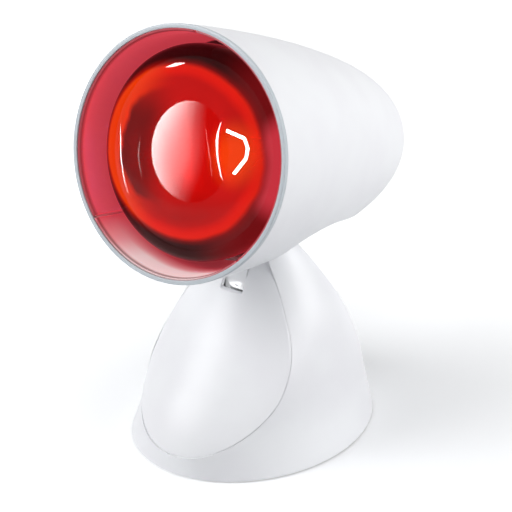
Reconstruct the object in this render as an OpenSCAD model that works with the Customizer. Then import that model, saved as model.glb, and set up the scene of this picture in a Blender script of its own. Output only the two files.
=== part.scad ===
// Infrared heat lamp: a bullet-shaped shade with a red reflector bulb, tilting on an egg-shaped foot.
// Millimetres, +Z up. The origin is the centre of the footprint on the desk; the lamp faces -Y.

/* [Shade] */
// Outer radius of the shade at its mouth
shade_r = 56; // [56:1:68]
// Length of the shade from the mouth to the rear end
shade_len = 163; // [160:1:196]
// Wall thickness of the shade
shade_wall = 2; // [1.8:0.1:2.6]
// Width of the flat ring round the mouth
rim_w = 2; // [1.5:0.1:2.5]
// Depth of the rim's flange along the shade's axis
rim_depth = 2.4; // [2:0.1:3]
// Depth of the rim's tenon, which seats in the shade's front edge
tenon_depth = 2.4; // [1.6:0.2:4]
// Thickness of the liner's sheet
liner_t = 0.8; // [0.6:0.1:1.2]
// Step from the lower liner segment in to the side segments
liner_step = 0.7; // [0.4:0.1:1]
// Half angle of the lower liner segment
liner_low_half = 47; // [40:1:55]
// Number of vent slots
vent_count = 4; // [2:1:6]
// Width of a vent slot
vent_w = 1.8; // [1.2:0.1:2.4]
// Distance between neighbouring vent slots
vent_pitch = 6.5; // [5:0.5:8]
// Distance of the vent slots' front ends from the mouth
vent_front = 113; // [108:1:120]
// Length of a vent slot
vent_len = 36; // [24:1:38]

/* [Tilt] */
// Upward pitch of the shade at rest, in degrees
rest_pitch = 15.2; // [3:0.1:27]
// Height of the tilt axis above the desk
pivot_z = 82; // [80:0.5:98]
// Place of the tilt axis behind the footprint's centre
pivot_y = 2; // [0:0.5:4]
// Distance of the tilt axis behind the mouth
pivot_s = 75.6; // [75.6:0.2:80]
// Distance of the tilt axis below the shade's axis
pivot_drop = 54.5; // [54:0.5:62]
// Radius of the hinge drum
drum_r = 15; // [13:0.5:15]
// Width of the hinge drum
drum_w = 11.6; // [10:0.2:14]
// Radius of the hinge pin
pin_r = 4; // [3:0.25:5]
// Running clearance round the hinge pin
pin_gap = 0.05; // [0.03:0.01:0.08]
// Radius about the tilt axis that the top of the foot keeps within
dome_r = 20; // [18:0.5:20.5]
// Angle between two detent positions
detent_step = 12; // [8:1:12]

/* [Bulb] */
// Largest radius of the reflector bulb
bulb_r = 47.5; // [45:0.5:48]
// Distance of the bulb's front apex behind the mouth
bulb_apex = 2.5; // [2:0.5:8]
// Depth of the bulb's domed front
bulb_dome = 16; // [12:1:18]
// Fullness of the dome's shoulder: 2 makes it an ellipse
bulb_full = 3; // [2:0.1:3.4]
// Length of the bulb's bell-shaped reflector
bulb_bell = 66; // [60:1:68]
// Radius of the bulb's neck
bulb_neck_r = 19; // [17:0.5:19]
// Thickness of the bulb's glass
glass_t = 0.9; // [0.7:0.1:1.2]
// Radius of the ring of filament
filament_r = 10; // [8:0.5:11]
// Crest radius of the screw cap's thread
cap_r = 13; // [13:0.05:13.1]
// Pitch of the screw cap's thread
cap_pitch = 3.6; // [3.5:0.05:3.65]

/* [Foot] */
// Half width of the foot at the desk
foot_half_w = 53.5; // [48:0.5:64.5]
// Reach of the foot in front of its centre
foot_front = 64.5; // [60:0.5:77]
// Reach of the foot behind its centre
foot_rear = 65.8; // [60:0.5:79]
// Height constant of the front panel's bell curve
front_bell = 65.3; // [62:0.1:68]
// Wall thickness of the foot's shells
foot_wall = 2.3; // [2:0.1:2.6]
// Widest half width of the front panel
panel_half_w = 37.1; // [34:0.1:40]
// Height at which the front panel is widest
panel_mid = 38; // [34:1:42]
// Drop from there to the panel's lowest point
panel_drop = 28.5; // [26:0.5:28.5]
// Height constant of the panel's tapering upper edge
panel_bell = 52; // [50:0.5:56]
// Thickness of the front panel
panel_t = 2.4; // [2:0.1:3]
// Width of the seat under the front panel's edge
panel_seat = 5; // [4:0.5:7]
// Height of the slot's lower edge in the front panel
notch_z = 73.9; // [70:0.1:90]
// Gap between the foot's lower edge and the desk
skirt_gap = 0.8; // [0.5:0.1:1.5]

/* [Fasteners and fits] */
// Radius of a small screw's shank
screw_r = 1.45; // [1.2:0.05:1.6]
// Radius of a small screw's head
head_r = 2.7; // [2.4:0.1:3]
// Thickness of a small screw's head
head_t = 1.7; // [1.2:0.1:2]
// Clearance round a screw in its hole
screw_gap = 0.05; // [0.03:0.01:0.1]
// Gap between two shells that meet
seam = 0.3; // [0.2:0.05:0.4]
// Clearance at each side of the tilt arm in its slot
arm_gap = 0.3; // [0.2:0.05:0.5]
// Room for a washer between the hinge drum and each cheek
washer_room = 2.2; // [1.5:0.1:3]
// Radius of the cord's way through its gland
cord_r = 3.6; // [3:0.1:4]

/* [Hidden] */
white = "#f4f5f6";
red = "#c80a0a";
eps = 0.01;
smooth = 96;
small = 48;

// ---- Shade: shape of the bullet -------------------------------------------------------------
shade_m = 1.28;
shade_n = 2.97;
bullet_steps = 30;

// Radius of a bullet of mouth radius r0 and length len, at the distance s behind its mouth
function bullet_r(s, r0, len) = r0 * pow(max(0, 1 - pow(s / len, shade_m)), 1 / shade_n);
function inner_r(s, gap = 0) = bullet_r(s, shade_r - shade_wall, shade_len - shade_wall) - gap;
function bullet_s(i, len) = len * (1 - pow(1 - i / bullet_steps, 3));

// Carries a shape from the shade's own frame (+Y rearwards from the mouth, +Z up) to the lamp's
module in_shade() {
    translate([0, pivot_y, pivot_z])
        rotate([-rest_pitch, 0, 0])
            translate([0, -pivot_s, pivot_drop])
                children();
}
// Turns a shape that stands on +Z so that it points rearwards along the shade's axis
module along_s() { rotate([-90, 0, 0]) children(); }
// Extrudes an outline drawn in (distance from the mouth, height) across the shade
module across(width) { rotate([90, 0, 90]) linear_extrude(width, center = true) children(); }
// A disc or ring about the shade's axis
module ring_s(s0, s1, r_out, r_in = 0) {
    translate([0, s0, 0]) along_s() difference() {
        cylinder(h = s1 - s0, r = r_out, $fn = smooth);
        if (r_in > 0) translate([0, 0, -1]) cylinder(h = s1 - s0 + 2, r = r_in, $fn = smooth);
    }
}
// A rod along the shade's axis at the place (x, z)
module rod_s(x, z, s0, s1, r) {
    translate([x, s0, z]) along_s() cylinder(h = s1 - s0, r = r, $fn = small);
}
module bullet(r0, len) {
    along_s() rotate_extrude($fn = smooth) polygon(concat([[0, 0]],
        [for (i = [0 : bullet_steps]) let (s = bullet_s(i, len)) [bullet_r(s, r0, len), s]]));
}
module bullet_inside(gap = 0) { bullet(shade_r - shade_wall - gap, shade_len - shade_wall - gap); }

// ---- Shade: opening in the underside, over the hinge ----------------------------------------
axis_z = -pivot_drop;
cut_front = 44;
cut_top_s = pivot_s + 2.4;
cut_top = axis_z + 27.8;
cut_rise = 11.8;
cut_slope = 0.065;
cover_t = 2;
cover_lead = 1.6;
liner_end = cut_front - cover_lead - 0.8;
belly_half_w = 26;
belly_r = 23;
belly_top = axis_z + belly_r;
belly_end = pivot_s + 14.4;
flat_front = pivot_s - 9;

// Region below the opening's edge, drawn in (s, z)
module cut_outline() {
    polygon(concat(
        [[cut_front + 6, axis_z - 12]],
        [for (a = [0 : 7.5 : 90]) [
            cut_top_s - (cut_top_s - cut_front) * cos(a),
            cut_top - cut_rise + cut_rise * sin(a)]],
        [[shade_len + 20, cut_top - cut_slope * (shade_len + 20 - cut_top_s)],
         [shade_len + 20, -shade_r - 10],
         [cut_front + 6, -shade_r - 10]]));
}
// Region above it
module cut_outline_above() {
    difference() {
        translate([cut_front, -shade_r]) square([shade_len, 2 * shade_r]);
        cut_outline();
    }
}
// Region in which the cover hangs low over the hinge, and the room for the hinge below it
module belly_zone(wall) {
    translate([30, axis_z - 10]) square([pivot_s - 30, 50]);
    translate([pivot_s - eps, belly_top + wall]) square([belly_end - pivot_s - wall, 30]);
}
module hinge_room(r) {
    translate([pivot_s, axis_z]) circle(r = r, $fn = smooth);
    translate([flat_front, axis_z]) square([pivot_s - flat_front, r]);
}
// The four lugs that the saddle cover is screwed to: [x, s]
cover_lugs = [for (side = [-1, 1]) each [[side * 36, 62], [side * 25.5, 104]]];
lug_h = 8;
lug_half = 3.5;
function cut_z(s) = s < cut_top_s
    ? cut_top - cut_rise + cut_rise * sqrt(max(0, 1 - pow((cut_top_s - s) / (cut_top_s - cut_front), 2)))
    : cut_top - cut_slope * (s - cut_top_s);

// Underside of a lug, clear of the sloping cover and its pad over the lug's whole length
pad_t = 2;
function lug_z(s) = cover_t + pad_t + 0.1
    + max(cut_z(s - lug_half + cover_lead), cut_z(s), cut_z(s + lug_half + cover_lead));
// Seat of a screw's head, sunk in the cover
function seat_z(s) = max(cut_z(s - head_r), cut_z(s + head_r)) + head_t + 0.2;

module cover_lug(p) {
    intersection() {
        translate([p[0] > 0 ? p[0] - lug_half : p[0] + lug_half - 30, p[1] - lug_half, lug_z(p[1])])
            cube([30, 2 * lug_half, lug_h]);
        bullet(shade_r - 1, shade_len - 1);
    }
}

// ---- Shade: lampholder and its bracket ------------------------------------------------------
bracket_s = 120.2;
bracket_t = 2;
holder_r = 19.5;
holder_front = 114;
holder_rear = 149;
holder_waist = 143;
holder_tail_r = 15.5;
holder_flange_r = 26;
holder_flange_t = 4;
thread_s = 115;
thread_turns = 5;
thread_depth = 0.85;
thread_gap = 0.35;
thread_wall = 0.6;
tip_s = 139.8;
contact_t = 1.2;
holder_screw_x = 22.6;
boss_r = 3.6;
boss_places = [[0, 31], [-29.5, -9.6], [29.5, -9.6]];
boss_depth = 9;
cable_r = 1.5;
cable_hole_r = 2;
channel_ds = 8.5;
bracket_low = -25.4;

// ---- Bulb ---------------------------------------------------------------------------------
bulb_wide_s = bulb_apex + bulb_dome;
bulb_neck_s = bulb_wide_s + bulb_bell;
neck_end_s = 105;
cap_s = 113;
dome_steps = 16;
bell_steps = 18;
filament_s = 42;
filament_low = 3.5;
filament_wire = 0.8;
// The arc that the filament spans and its middle, both as seen from the mouth's side
filament_arc = 210;
filament_mid = -22;
stem_tip_s = 66;

// Outline of the bulb, [radius, s], drawn in by the inset t
function dome_pts(t) = [for (i = [0 : dome_steps]) let (a = 90 * i / dome_steps)
    [(bulb_r - t) * pow(sin(a), 2 / bulb_full),
     bulb_wide_s - (bulb_dome - t) * pow(cos(a), 2 / bulb_full)]];
function bell_pts(t) = [for (i = [1 : bell_steps]) let (u = i / bell_steps)
    [bulb_neck_r - t + (bulb_r - bulb_neck_r) * (1 + cos(180 * u)) / 2, bulb_wide_s + bulb_bell * u]];
cap_inner_r = cap_r - 1.7;
function neck_pts(t) = [[bulb_neck_r - t, neck_end_s], [cap_inner_r - 0.1 - t, cap_s - 1.5],
    [cap_inner_r - 0.1 - t, cap_s + 4], [0, cap_s + 4]];
module bulb_solid(t) {
    along_s() rotate_extrude($fn = smooth)
        polygon(concat([[0, bulb_wide_s - bulb_dome + t]],
            [for (p = dome_pts(t)) if (p[0] > eps) p], bell_pts(t), neck_pts(t)));
}
// Rounded rings that stand for the screw thread, as [radius, s] from front to rear
function thread_pts(r) = [for (k = [0 : thread_turns * 8]) let (s = thread_s + cap_pitch * k / 8)
    [r - thread_depth * (1 + cos(45 * k)) / 2, s]];
thread_end = thread_s + cap_pitch * thread_turns;

// ---- Foot: sections at even heights ---------------------------------------------------------
// Height between two entries of the lists below
level_step = 20;
// Half width, place of the widest section, rear reach, depth of the front quadrant, panel radius
half_w_at = [foot_half_w, foot_half_w - 6, 44.2, 38.3, 27.2, 15, 3];
widest_at = [0, 8, 12, 12, 10, 4, 0];
rear_at = [foot_rear, foot_rear - 5.8, 51.5, 40, 25.6, 10.6, 2];
quadrant_at = [foot_front, foot_front + 6.5, 71, 47, 27.5, 14, 5];
panel_bend_at = [46, 46, 46.5, 46.5, 38, 28, 20];

// Smooth curve through a list of values that stand level_step apart
function at(v, z) = let (
        n = len(v) - 1,
        i = min(max(floor(z / level_step), 0), n - 1),
        t = z / level_step - i,
        p1 = v[i], p2 = v[i + 1],
        p0 = i > 0 ? v[i - 1] : 2 * p1 - p2,
        p3 = i < n - 1 ? v[i + 2] : 2 * p2 - p1)
    (2 * p1 + (p2 - p0) * t + (2 * p0 - 5 * p1 + 4 * p2 - p3) * t * t
        + (3 * p1 - p0 - 3 * p2 + p3) * t * t * t) / 2;

// Front of the panel on the mirror plane, and anywhere at x
function panel_mid_y(z) = -foot_front * exp(-pow(z / front_bell, 2));
function panel_y(x, z) = let (bend = at(panel_bend_at, z))
    panel_mid_y(z) + bend - sqrt(max(1, bend * bend - x * x));
panel_low = panel_mid - panel_drop;
panel_least = 2;
// Half width of the panel's egg-shaped outline at the height z
function panel_w(z) = max(panel_least, z >= panel_mid
    ? panel_half_w * exp(-pow((z - panel_mid) / panel_bell, 2))
    : panel_half_w * sqrt(max(0, 1 - pow((panel_mid - z) / panel_drop, 2))));
// Front of the foot's body at x, drawn in by the inset t
function body_front(x, z, t) = let (w = at(half_w_at, z) - t)
    at(widest_at, z) - (at(quadrant_at, z) - t) * sqrt(max(0, 1 - pow(min(x, w) / w, 2)));

// Half width of the body at y, ahead of its widest section
function body_side(y, z) =
    at(half_w_at, z) * sqrt(1 - pow((at(widest_at, z) - y) / at(quadrant_at, z), 2));
// Rear of the body at x
function body_rear(x, z) = let (wide = at(widest_at, z))
    wide + (at(rear_at, z) - wide) * sqrt(1 - pow(x / at(half_w_at, z), 2));

slot_half_w = drum_w / 2 + arm_gap;
foot_top = 103;
low_steps = 13;
high_steps = 12;
// Heights of the sections: even below the panel, along its round lower edge, then even again
foot_levels = concat([skirt_gap, (skirt_gap + panel_low) / 2, panel_low - 0.4],
    [for (i = [0 : low_steps]) panel_mid - panel_drop * cos(90 * i / low_steps)],
    [for (i = [1 : high_steps]) panel_mid + (foot_top - panel_mid) * i / high_steps]);
quarter_steps = 9;
land_steps = 5;

// Half of one section, from the mirror plane at the front round to the rear, drawn in by t
function half_section(z, t) = let (
        w = at(half_w_at, z) - t,
        wide = at(widest_at, z),
        rear = at(rear_at, z) - t - wide,
        covered = z >= panel_low,
        edge = panel_w(z) + (covered ? seam : 0),
        corner = min(edge, w * 0.96),
        start = asin(corner / w),
        land = panel_t + seam + t)
    concat(
        [for (i = [0 : land_steps]) let (x = corner * i / land_steps)
            [x, covered ? panel_y(x, z) + land : body_front(x, z, t)]],
        [for (i = [0 : quarter_steps]) let (a = start + (90 - start) * i / quarter_steps)
            [w * sin(a), wide - (at(quadrant_at, z) - t) * cos(a)
                + (covered && i == 0 ? eps : 0)]],
        [for (i = [1 : quarter_steps]) let (a = 90 * i / quarter_steps)
            [w * cos(a), wide + rear * sin(a)]]);
function whole_section(z, t) = let (h = half_section(z, t), n = len(h) - 1)
    concat(h, [for (i = [n - 1 : -1 : 1]) [-h[i][0], h[i][1]]]);

// Solid through a stack of closed sections, given as lists of [x, y] and their heights
module loft(sections, heights) {
    n = len(sections[0]);
    m = len(sections);
    polyhedron(
        points = [for (k = [0 : m - 1]) each [for (p = sections[k]) [p[0], p[1], heights[k]]]],
        faces = concat(
            [[for (i = [0 : n - 1]) i]],
            [for (k = [0 : m - 2]) each [for (i = [0 : n - 1]) let (j = (i + 1) % n)
                each [[k * n + i, (k + 1) * n + j, k * n + j],
                      [k * n + i, (k + 1) * n + i, (k + 1) * n + j]]]],
            [[for (i = [n - 1 : -1 : 0]) (m - 1) * n + i]]));
}
module foot_body(t, bottom, top) {
    levels = concat([bottom], [for (z = foot_levels) if (z > bottom + 1 && z < top - 1) z], [top]);
    loft([for (z = levels) whole_section(z, t)], levels);
}
// Space that the top of the foot keeps to, so that the shade can tilt over it
module under_dome(r) {
    translate([-100, pivot_y, pivot_z]) rotate([0, 90, 0]) cylinder(h = 200, r = r, $fn = smooth);
    translate([-100, -120, -1]) cube([200, 240, pivot_z + 1]);
}
// Outline of the panel as seen from the front, drawn in by d
module panel_outline(d) {
    pts = [for (z = foot_levels) if (z > panel_low + d + 0.5) [max(0.5, panel_w(z) - d), z]];
    polygon(concat([[0, panel_low + d]], pts, [[pts[len(pts) - 1][0], foot_top + 5]],
        [[-pts[len(pts) - 1][0], foot_top + 5]],
        [for (i = [len(pts) - 1 : -1 : 0]) [-pts[i][0], pts[i][1]]]));
}
module arm_slot(half_w, front_z, rear_z) {
    translate([-half_w, -100, front_z]) cube([2 * half_w, 100 + pivot_y, 100]);
    translate([-half_w, pivot_y - eps, rear_z]) cube([2 * half_w, 100, 100]);
}

// ---- Foot: places of the inner parts ------------------------------------------------------
plate_z = skirt_gap;
plate_t = 2.2;
plate_top = plate_z + plate_t;
ballast_r = 40;
ballast_t = 8;
ballast_y = 6;
ballast_top = plate_top + ballast_t;
ring_r = 41.5;
ring_w = 4;
ring_h = 1.8;
boss_x = 0.56 * foot_half_w;
boss_front = -0.53 * foot_front;
boss_rear = 0.67 * foot_rear;
boss_rear_x = 0.46 * foot_half_w;
boss_spots = [[-boss_x, boss_front], [boss_x, boss_front], [-boss_rear_x, boss_rear],
    [boss_rear_x, boss_rear]];
boss_top = 16;
boss_out = 4.5;
rib_top = 9;
ballast_spots = [for (a = [30, 150, 270]) [28 * cos(a), ballast_y + 28 * sin(a)]];
cheek_x = drum_w / 2 + washer_room;
cheek_t = 2.5;
cheek_half = 9;
bracket_floor = ballast_top;
bolt_spots = [for (x = [-18, 18]) each [[x, pivot_y - 5], [x, pivot_y + 5]]];
detent_r = 2.9;
detent_gap = 0.3;
detent_dip = 1;
ball_z = pivot_z - drum_r - detent_gap - detent_r;
barrel_floor = ball_z - 13;
rear_slot_z = pivot_z - 3;
panel_pegs = [for (z = [27, 60]) each [[1, z], [-1, z]]];
peg_r = 1.1;
gland_z = 13;
gland_hole_r = 6;
gland_y = at(rear_at, gland_z);
clip_z = barrel_floor - 6;
clip_y = pivot_y + 9;

// =============================================================================================
// Shade
module shade_shell() color(white) in_shade() {
    difference() {
        union() {
            difference() {
                bullet(shade_r, shade_len);
                bullet_inside();
            }
            intersection() {
                bullet(shade_r - 1, shade_len - 1);
                for (b = boss_places) rod_s(b[0], b[1], bracket_s + bracket_t + 0.1, shade_len, boss_r);
            }
            for (p = cover_lugs) cover_lug(p);
        }
        ring_s(-1, rim_depth, shade_r + 5);
        across(3 * shade_r) cut_outline();
        for (k = [0 : vent_count - 1])
            translate([(k - (vent_count - 1) / 2) * vent_pitch - vent_w / 2, vent_front, 0])
                cube([vent_w, vent_len, shade_r]);
        for (b = boss_places)
            rod_s(b[0], b[1], bracket_s, bracket_s + bracket_t + boss_depth, screw_r + screw_gap);
        for (p = cover_lugs)
            translate([p[0], p[1], lug_z(p[1]) - 5])
                cylinder(h = 5 + lug_h - 1.5, r = screw_r + screw_gap, $fn = small);
        // groove for the rim's tenon
        ring_s(rim_depth - 1, rim_depth + tenon_depth + 0.1, tenon_out + 0.05, tenon_in - 0.05);
    }
}

// The rim's tenon stands in the middle of the shade's wall
tenon_in = inner_r(rim_depth + tenon_depth) + 0.6;
tenon_out = tenon_in + 0.7;
module rim_ring() color("#c9ced3") in_shade() {
    chamfer = 0.5;
    back = rim_depth - 0.05;
    along_s() rotate_extrude($fn = smooth) polygon([
        [shade_r - rim_w, 0], [shade_r - chamfer, 0], [shade_r, chamfer],
        [bullet_r(back, shade_r, shade_len), back], [tenon_out, back],
        [tenon_out, rim_depth + tenon_depth], [tenon_in, rim_depth + tenon_depth],
        [tenon_in, back], [shade_r - rim_w, back]]);
}

// One segment of the liner, between two angles measured from +X towards the underside;
// step moves it in from the shade's wall
module liner(a0, a1, step) {
    s0 = 1;
    steps = 8;
    stations = [for (i = [0 : steps]) s0 + (liner_end - s0) * i / steps];
    along_s() rotate([0, 0, a0]) rotate_extrude(angle = a1 - a0, $fn = smooth)
        polygon(concat(
            [for (s = stations) [inner_r(s, seam + step), s]],
            [for (i = [steps : -1 : 0]) [inner_r(stations[i], seam + step + liner_t), stations[i]]]));
}
liner_gap_a = 1.2;
module liner_right() color(red) in_shade() liner(-90 + liner_gap_a / 2, 90 - liner_low_half, liner_step);
module liner_left() color(red) in_shade() liner(90 + liner_low_half, 270 - liner_gap_a / 2, liner_step);
module liner_lower() color("#e8b0b0") in_shade()
    liner(90 - liner_low_half + liner_gap_a, 90 + liner_low_half - liner_gap_a, 0);

// Closes the opening under the shade; its middle hangs low over the hinge to clear the bulb
module saddle_cover() color(white) in_shade() difference() {
    intersection() {
        bullet_inside(0.25);
        union() {
            across(3 * shade_r) difference() {
                translate([-cover_lead, cover_t]) cut_outline();
                cut_outline();
            }
            across(2 * belly_half_w) difference() {
                intersection() {
                    translate([-cover_lead, cover_t]) cut_outline();
                    belly_zone(0);
                }
                hinge_room(belly_r);
            }
            // pads that the sunk screw heads bear on
            intersection() {
                across(3 * shade_r) translate([0, 0.05]) cut_outline_above();
                for (p = cover_lugs) translate([p[0], p[1], cut_z(p[1]) - 5])
                    cylinder(h = lug_z(p[1]) - 0.1 - cut_z(p[1]) + 5, r = head_r + 1.5, $fn = small);
            }
        }
    }
    intersection() {
        bullet_inside(0.25 + cover_t);
        across(2 * (belly_half_w - cover_t)) difference() {
            belly_zone(cover_t);
            hinge_room(belly_r + cover_t);
        }
    }
    translate([-drum_w / 2 - 0.3, flat_front + 0.3, belly_top - 5])
        cube([drum_w + 0.6, pivot_s + channel_ds + cable_hole_r + 1.3 - flat_front, 12]);
    for (p = cover_lugs) translate([p[0], p[1], seat_z(p[1])]) {
        translate([0, 0, -1]) cylinder(h = 15, r = screw_r + screw_gap, $fn = small);
        translate([0, 0, -10]) cylinder(h = 10, r = head_r + 0.15, $fn = small);
    }
    for (p = arm_screw_places)
        translate([p[0], p[1], belly_top - 5])
            cylinder(h = 12, r = screw_r + screw_gap, $fn = small);
}
module screw_down(x, s, z_head, length) {
    translate([x, s, z_head]) cylinder(h = head_t, r = head_r, $fn = small);
    translate([x, s, z_head - length]) cylinder(h = length + eps, r = screw_r, $fn = small);
}
module saddle_screws() color("silver") in_shade() for (p = cover_lugs)
    translate([p[0], p[1], seat_z(p[1]) - 0.05 - head_t]) {
        cylinder(h = head_t, r = head_r, $fn = small);
        cylinder(h = lug_z(p[1]) + lug_h - 2.5 - seat_z(p[1]) + head_t, r = screw_r, $fn = small);
    }

flange_t = 2.5;
flange_z = belly_top + cover_t + 0.05;
arm_screw_places = [for (x = [-11, 11]) each [[x, pivot_s - 5], [x, pivot_s + 7.5]]];
arm_front = flat_front + 0.6;
arm_rear = pivot_s + channel_ds + cable_hole_r + 1.3;
// Hinge drum, web and flange in one moulding; the cable runs down through it
module tilt_arm() color(white) in_shade() difference() {
    union() {
        translate([-drum_w / 2, pivot_s, axis_z]) rotate([0, 90, 0])
            cylinder(h = drum_w, r = drum_r, $fn = smooth);
        translate([-drum_w / 2, arm_front, axis_z])
            cube([drum_w, arm_rear - arm_front, flange_z + 1 - axis_z]);
        translate([-15, arm_front - 0.2, flange_z]) cube([30, arm_rear - arm_front + 0.4, flange_t]);
    }
    translate([-20, pivot_s, axis_z]) rotate([0, 90, 0])
        cylinder(h = 40, r = pin_r + pin_gap, $fn = smooth);
    translate([0, pivot_s + channel_ds, axis_z - 2 * drum_r])
        cylinder(h = 4 * drum_r, r = cable_hole_r, $fn = small);
    for (p = arm_screw_places)
        translate([p[0], p[1], flange_z - 1]) cylinder(h = 9, r = screw_r + screw_gap, $fn = small);
    for (k = [-1 : 3])
        translate([0, pivot_s, axis_z]) rotate([rest_pitch + k * detent_step, 0, 0])
            translate([-drum_w, 0, -(drum_r + detent_r - detent_dip)]) rotate([0, 90, 0])
                cylinder(h = 2 * drum_w, r = detent_r, $fn = small);
    // small slot in the drum's front, seen through the notch
    translate([0, pivot_s, axis_z]) rotate([rest_pitch + 34, 0, 0]) {
        for (x = [-1.9, -0.95])
            translate([x, -drum_r - 1, 0]) rotate([-90, 0, 0]) cylinder(h = 3, r = 0.75, $fn = small);
        translate([-1.9, -drum_r - 1, -0.75]) cube([0.95, 3, 1.5]);
    }
}
module arm_screws() color("silver") in_shade() for (p = arm_screw_places)
    screw_down(p[0], p[1], flange_z + flange_t + 0.05, flange_t + cover_t);

module holder_bracket() color("silver") in_shade() difference() {
    intersection() {
        ring_s(bracket_s, bracket_s + bracket_t, inner_r(bracket_s + bracket_t, 0.4),
            holder_r + 0.3);
        translate([-shade_r, 0, bracket_low]) cube([2 * shade_r, shade_len, 2 * shade_r]);
    }
    for (b = boss_places)
        rod_s(b[0], b[1], bracket_s - 1, bracket_s + bracket_t + 1, screw_r + screw_gap);
    for (x = [-holder_screw_x, holder_screw_x])
        rod_s(x, 0, bracket_s - 1, bracket_s + bracket_t + 1, screw_r + screw_gap);
    rod_s(20, -22, bracket_s - 1, bracket_s + bracket_t + 1, cable_hole_r + 0.3);
}
module bracket_screws() color("silver") in_shade() for (b = boss_places) {
    rod_s(b[0], b[1], bracket_s - head_t - 0.05, bracket_s - 0.05, head_r);
    rod_s(b[0], b[1], bracket_s - 0.1, bracket_s + bracket_t + boss_depth - 1, screw_r);
}
module holder_screws() color("silver") in_shade() for (x = [-holder_screw_x, holder_screw_x]) {
    rod_s(x, 0, bracket_s + bracket_t + 0.05, bracket_s + bracket_t + 0.05 + head_t, head_r);
    rod_s(x, 0, bracket_s - holder_flange_t + 1, bracket_s + bracket_t + 0.1, screw_r);
}
contact_shell_r = cap_r + thread_gap + thread_wall + 0.1;
module lampholder() color("#f0ede4") in_shade() difference() {
    union() {
        ring_s(holder_front, holder_waist, holder_r);
        ring_s(holder_waist - 1, holder_rear, holder_tail_r);
        ring_s(bracket_s - 0.05 - holder_flange_t, bracket_s - 0.05, holder_flange_r);
    }
    ring_s(holder_front - 1, tip_s + 0.3 + contact_t, contact_shell_r + 0.1);
    for (x = [-holder_screw_x, holder_screw_x])
        rod_s(x, 0, bracket_s - holder_flange_t + 0.5, bracket_s + 1, screw_r + screw_gap);
    rod_s(0, 0, tip_s, holder_rear + 1, 1.6);
    intersection() {
        translate([14, bracket_s - 10, -40]) cube([20, 20, 23]);
        ring_s(bracket_s - 10, bracket_s + 10, holder_flange_r + 2, holder_r + 0.2);
    }
}
module thread_shell() color("gold") in_shade() along_s() rotate_extrude($fn = smooth)
    polygon(concat(
        [for (p = thread_pts(cap_r)) [p[0] + thread_gap, p[1]]],
        [[contact_shell_r, thread_end], [contact_shell_r, thread_s]]));
module centre_contact() color("gold") in_shade() {
    ring_s(tip_s + 0.25, tip_s + 0.25 + contact_t, 5);
    ring_s(tip_s + contact_t, holder_rear - 1, 1.5);
}

module rod_between(p, q, r) {
    d = q - p;
    l = norm(d);
    translate(p) rotate([0, acos(d[2] / l), atan2(d[1], d[0])]) cylinder(h = l, r = r, $fn = small);
}
// A cable through a list of points: one tube whose rings stand square to the route
function unit(v) = v / norm(v);
function heading(pts, i) = unit(
    (i > 0 ? unit(pts[i] - pts[i - 1]) : [0, 0, 0])
    + (i < len(pts) - 1 ? unit(pts[i + 1] - pts[i]) : [0, 0, 0]));
cable_sides = 10;
module cable(pts, r) {
    n = cable_sides;
    m = len(pts);
    rings = [for (i = [0 : m - 1]) let (
            t = heading(pts, i), u = unit(cross(t, [1, 0.05, 0])), v = cross(t, u))
        each [for (k = [0 : n - 1]) pts[i] + r * (cos(360 * k / n) * u + sin(360 * k / n) * v)]];
    polyhedron(points = rings, faces = concat(
        [[for (k = [0 : n - 1]) k]],
        [for (i = [0 : m - 2]) each [for (k = [0 : n - 1]) let (j = (k + 1) % n)
            each [[i * n + k, (i + 1) * n + j, i * n + j],
                  [i * n + k, (i + 1) * n + k, (i + 1) * n + j]]]],
        [[for (k = [n - 1 : -1 : 0]) (m - 1) * n + k]]));
}
shade_cable_pts = [[6, 149.1, -12], [6, 151, -12], [7, 151.6, -16], [13, 143, -20.5],
    [20, 128, -22], [20, 112, -22], [12, 98, -22.5], [0, 88, -22.5],
    [0, pivot_s + channel_ds, -25.5], [0, pivot_s + channel_ds, axis_z - drum_r + 5.5]];
module shade_cable() color("dimgray") in_shade() cable(shade_cable_pts, cable_r);

// =============================================================================================
// Bulb
module bulb_envelope() color(red, 0.6) in_shade() difference() {
    bulb_solid(0);
    bulb_solid(glass_t);
    ring_s(cap_s + 3, cap_s + 5, bulb_neck_r);
}
module bulb_filament() color("orange") in_shade() translate([0, filament_s, -filament_low]) along_s()
    rotate([0, 0, filament_mid - filament_arc / 2]) rotate_extrude(angle = filament_arc, $fn = smooth)
        translate([filament_r, 0]) circle(r = filament_wire, $fn = small);
support_count = 5;
stem_r = 5;
support_r = 0.35;
support_s = stem_tip_s + 6;
module filament_supports() color("silver") in_shade()
    for (k = [0 : support_count - 1]) let (
            a = filament_mid + filament_arc * (k / (support_count - 1) - 0.5),
            p = [filament_r * cos(a), filament_s + filament_wire + 0.05,
                -filament_low - filament_r * sin(a)],
            q = [2.2 * cos(a), support_s, -2.2 * sin(a)])
        rod_between(p, q, support_r);
module bulb_stem() color("white", 0.5) in_shade() {
    ring_s(support_s, cap_s - 12, 3.4);
    translate([0, cap_s - 12, 0]) along_s()
        cylinder(h = 14, r1 = 3.4, r2 = cap_inner_r - glass_t - 0.4, $fn = smooth);
}
module screw_cap() color("silver") in_shade() along_s() rotate_extrude($fn = smooth)
    polygon(concat(
        [[cap_inner_r, cap_s - 1], [cap_r - 0.4, cap_s - 1], [cap_r - thread_depth, thread_s - 0.5]],
        thread_pts(cap_r),
        [[cap_r - 2.1, thread_end + 0.7], [cap_r - 2.8, thread_end + 0.3],
         [cap_inner_r, thread_end - 0.8]]));
insulator_s = thread_end + 0.35;
module cap_insulator() color("#222428") in_shade() translate([0, insulator_s, 0]) along_s()
    cylinder(h = tip_s - 1.2 - insulator_s, r1 = cap_r - 2.7, r2 = 6, $fn = smooth);
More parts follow.
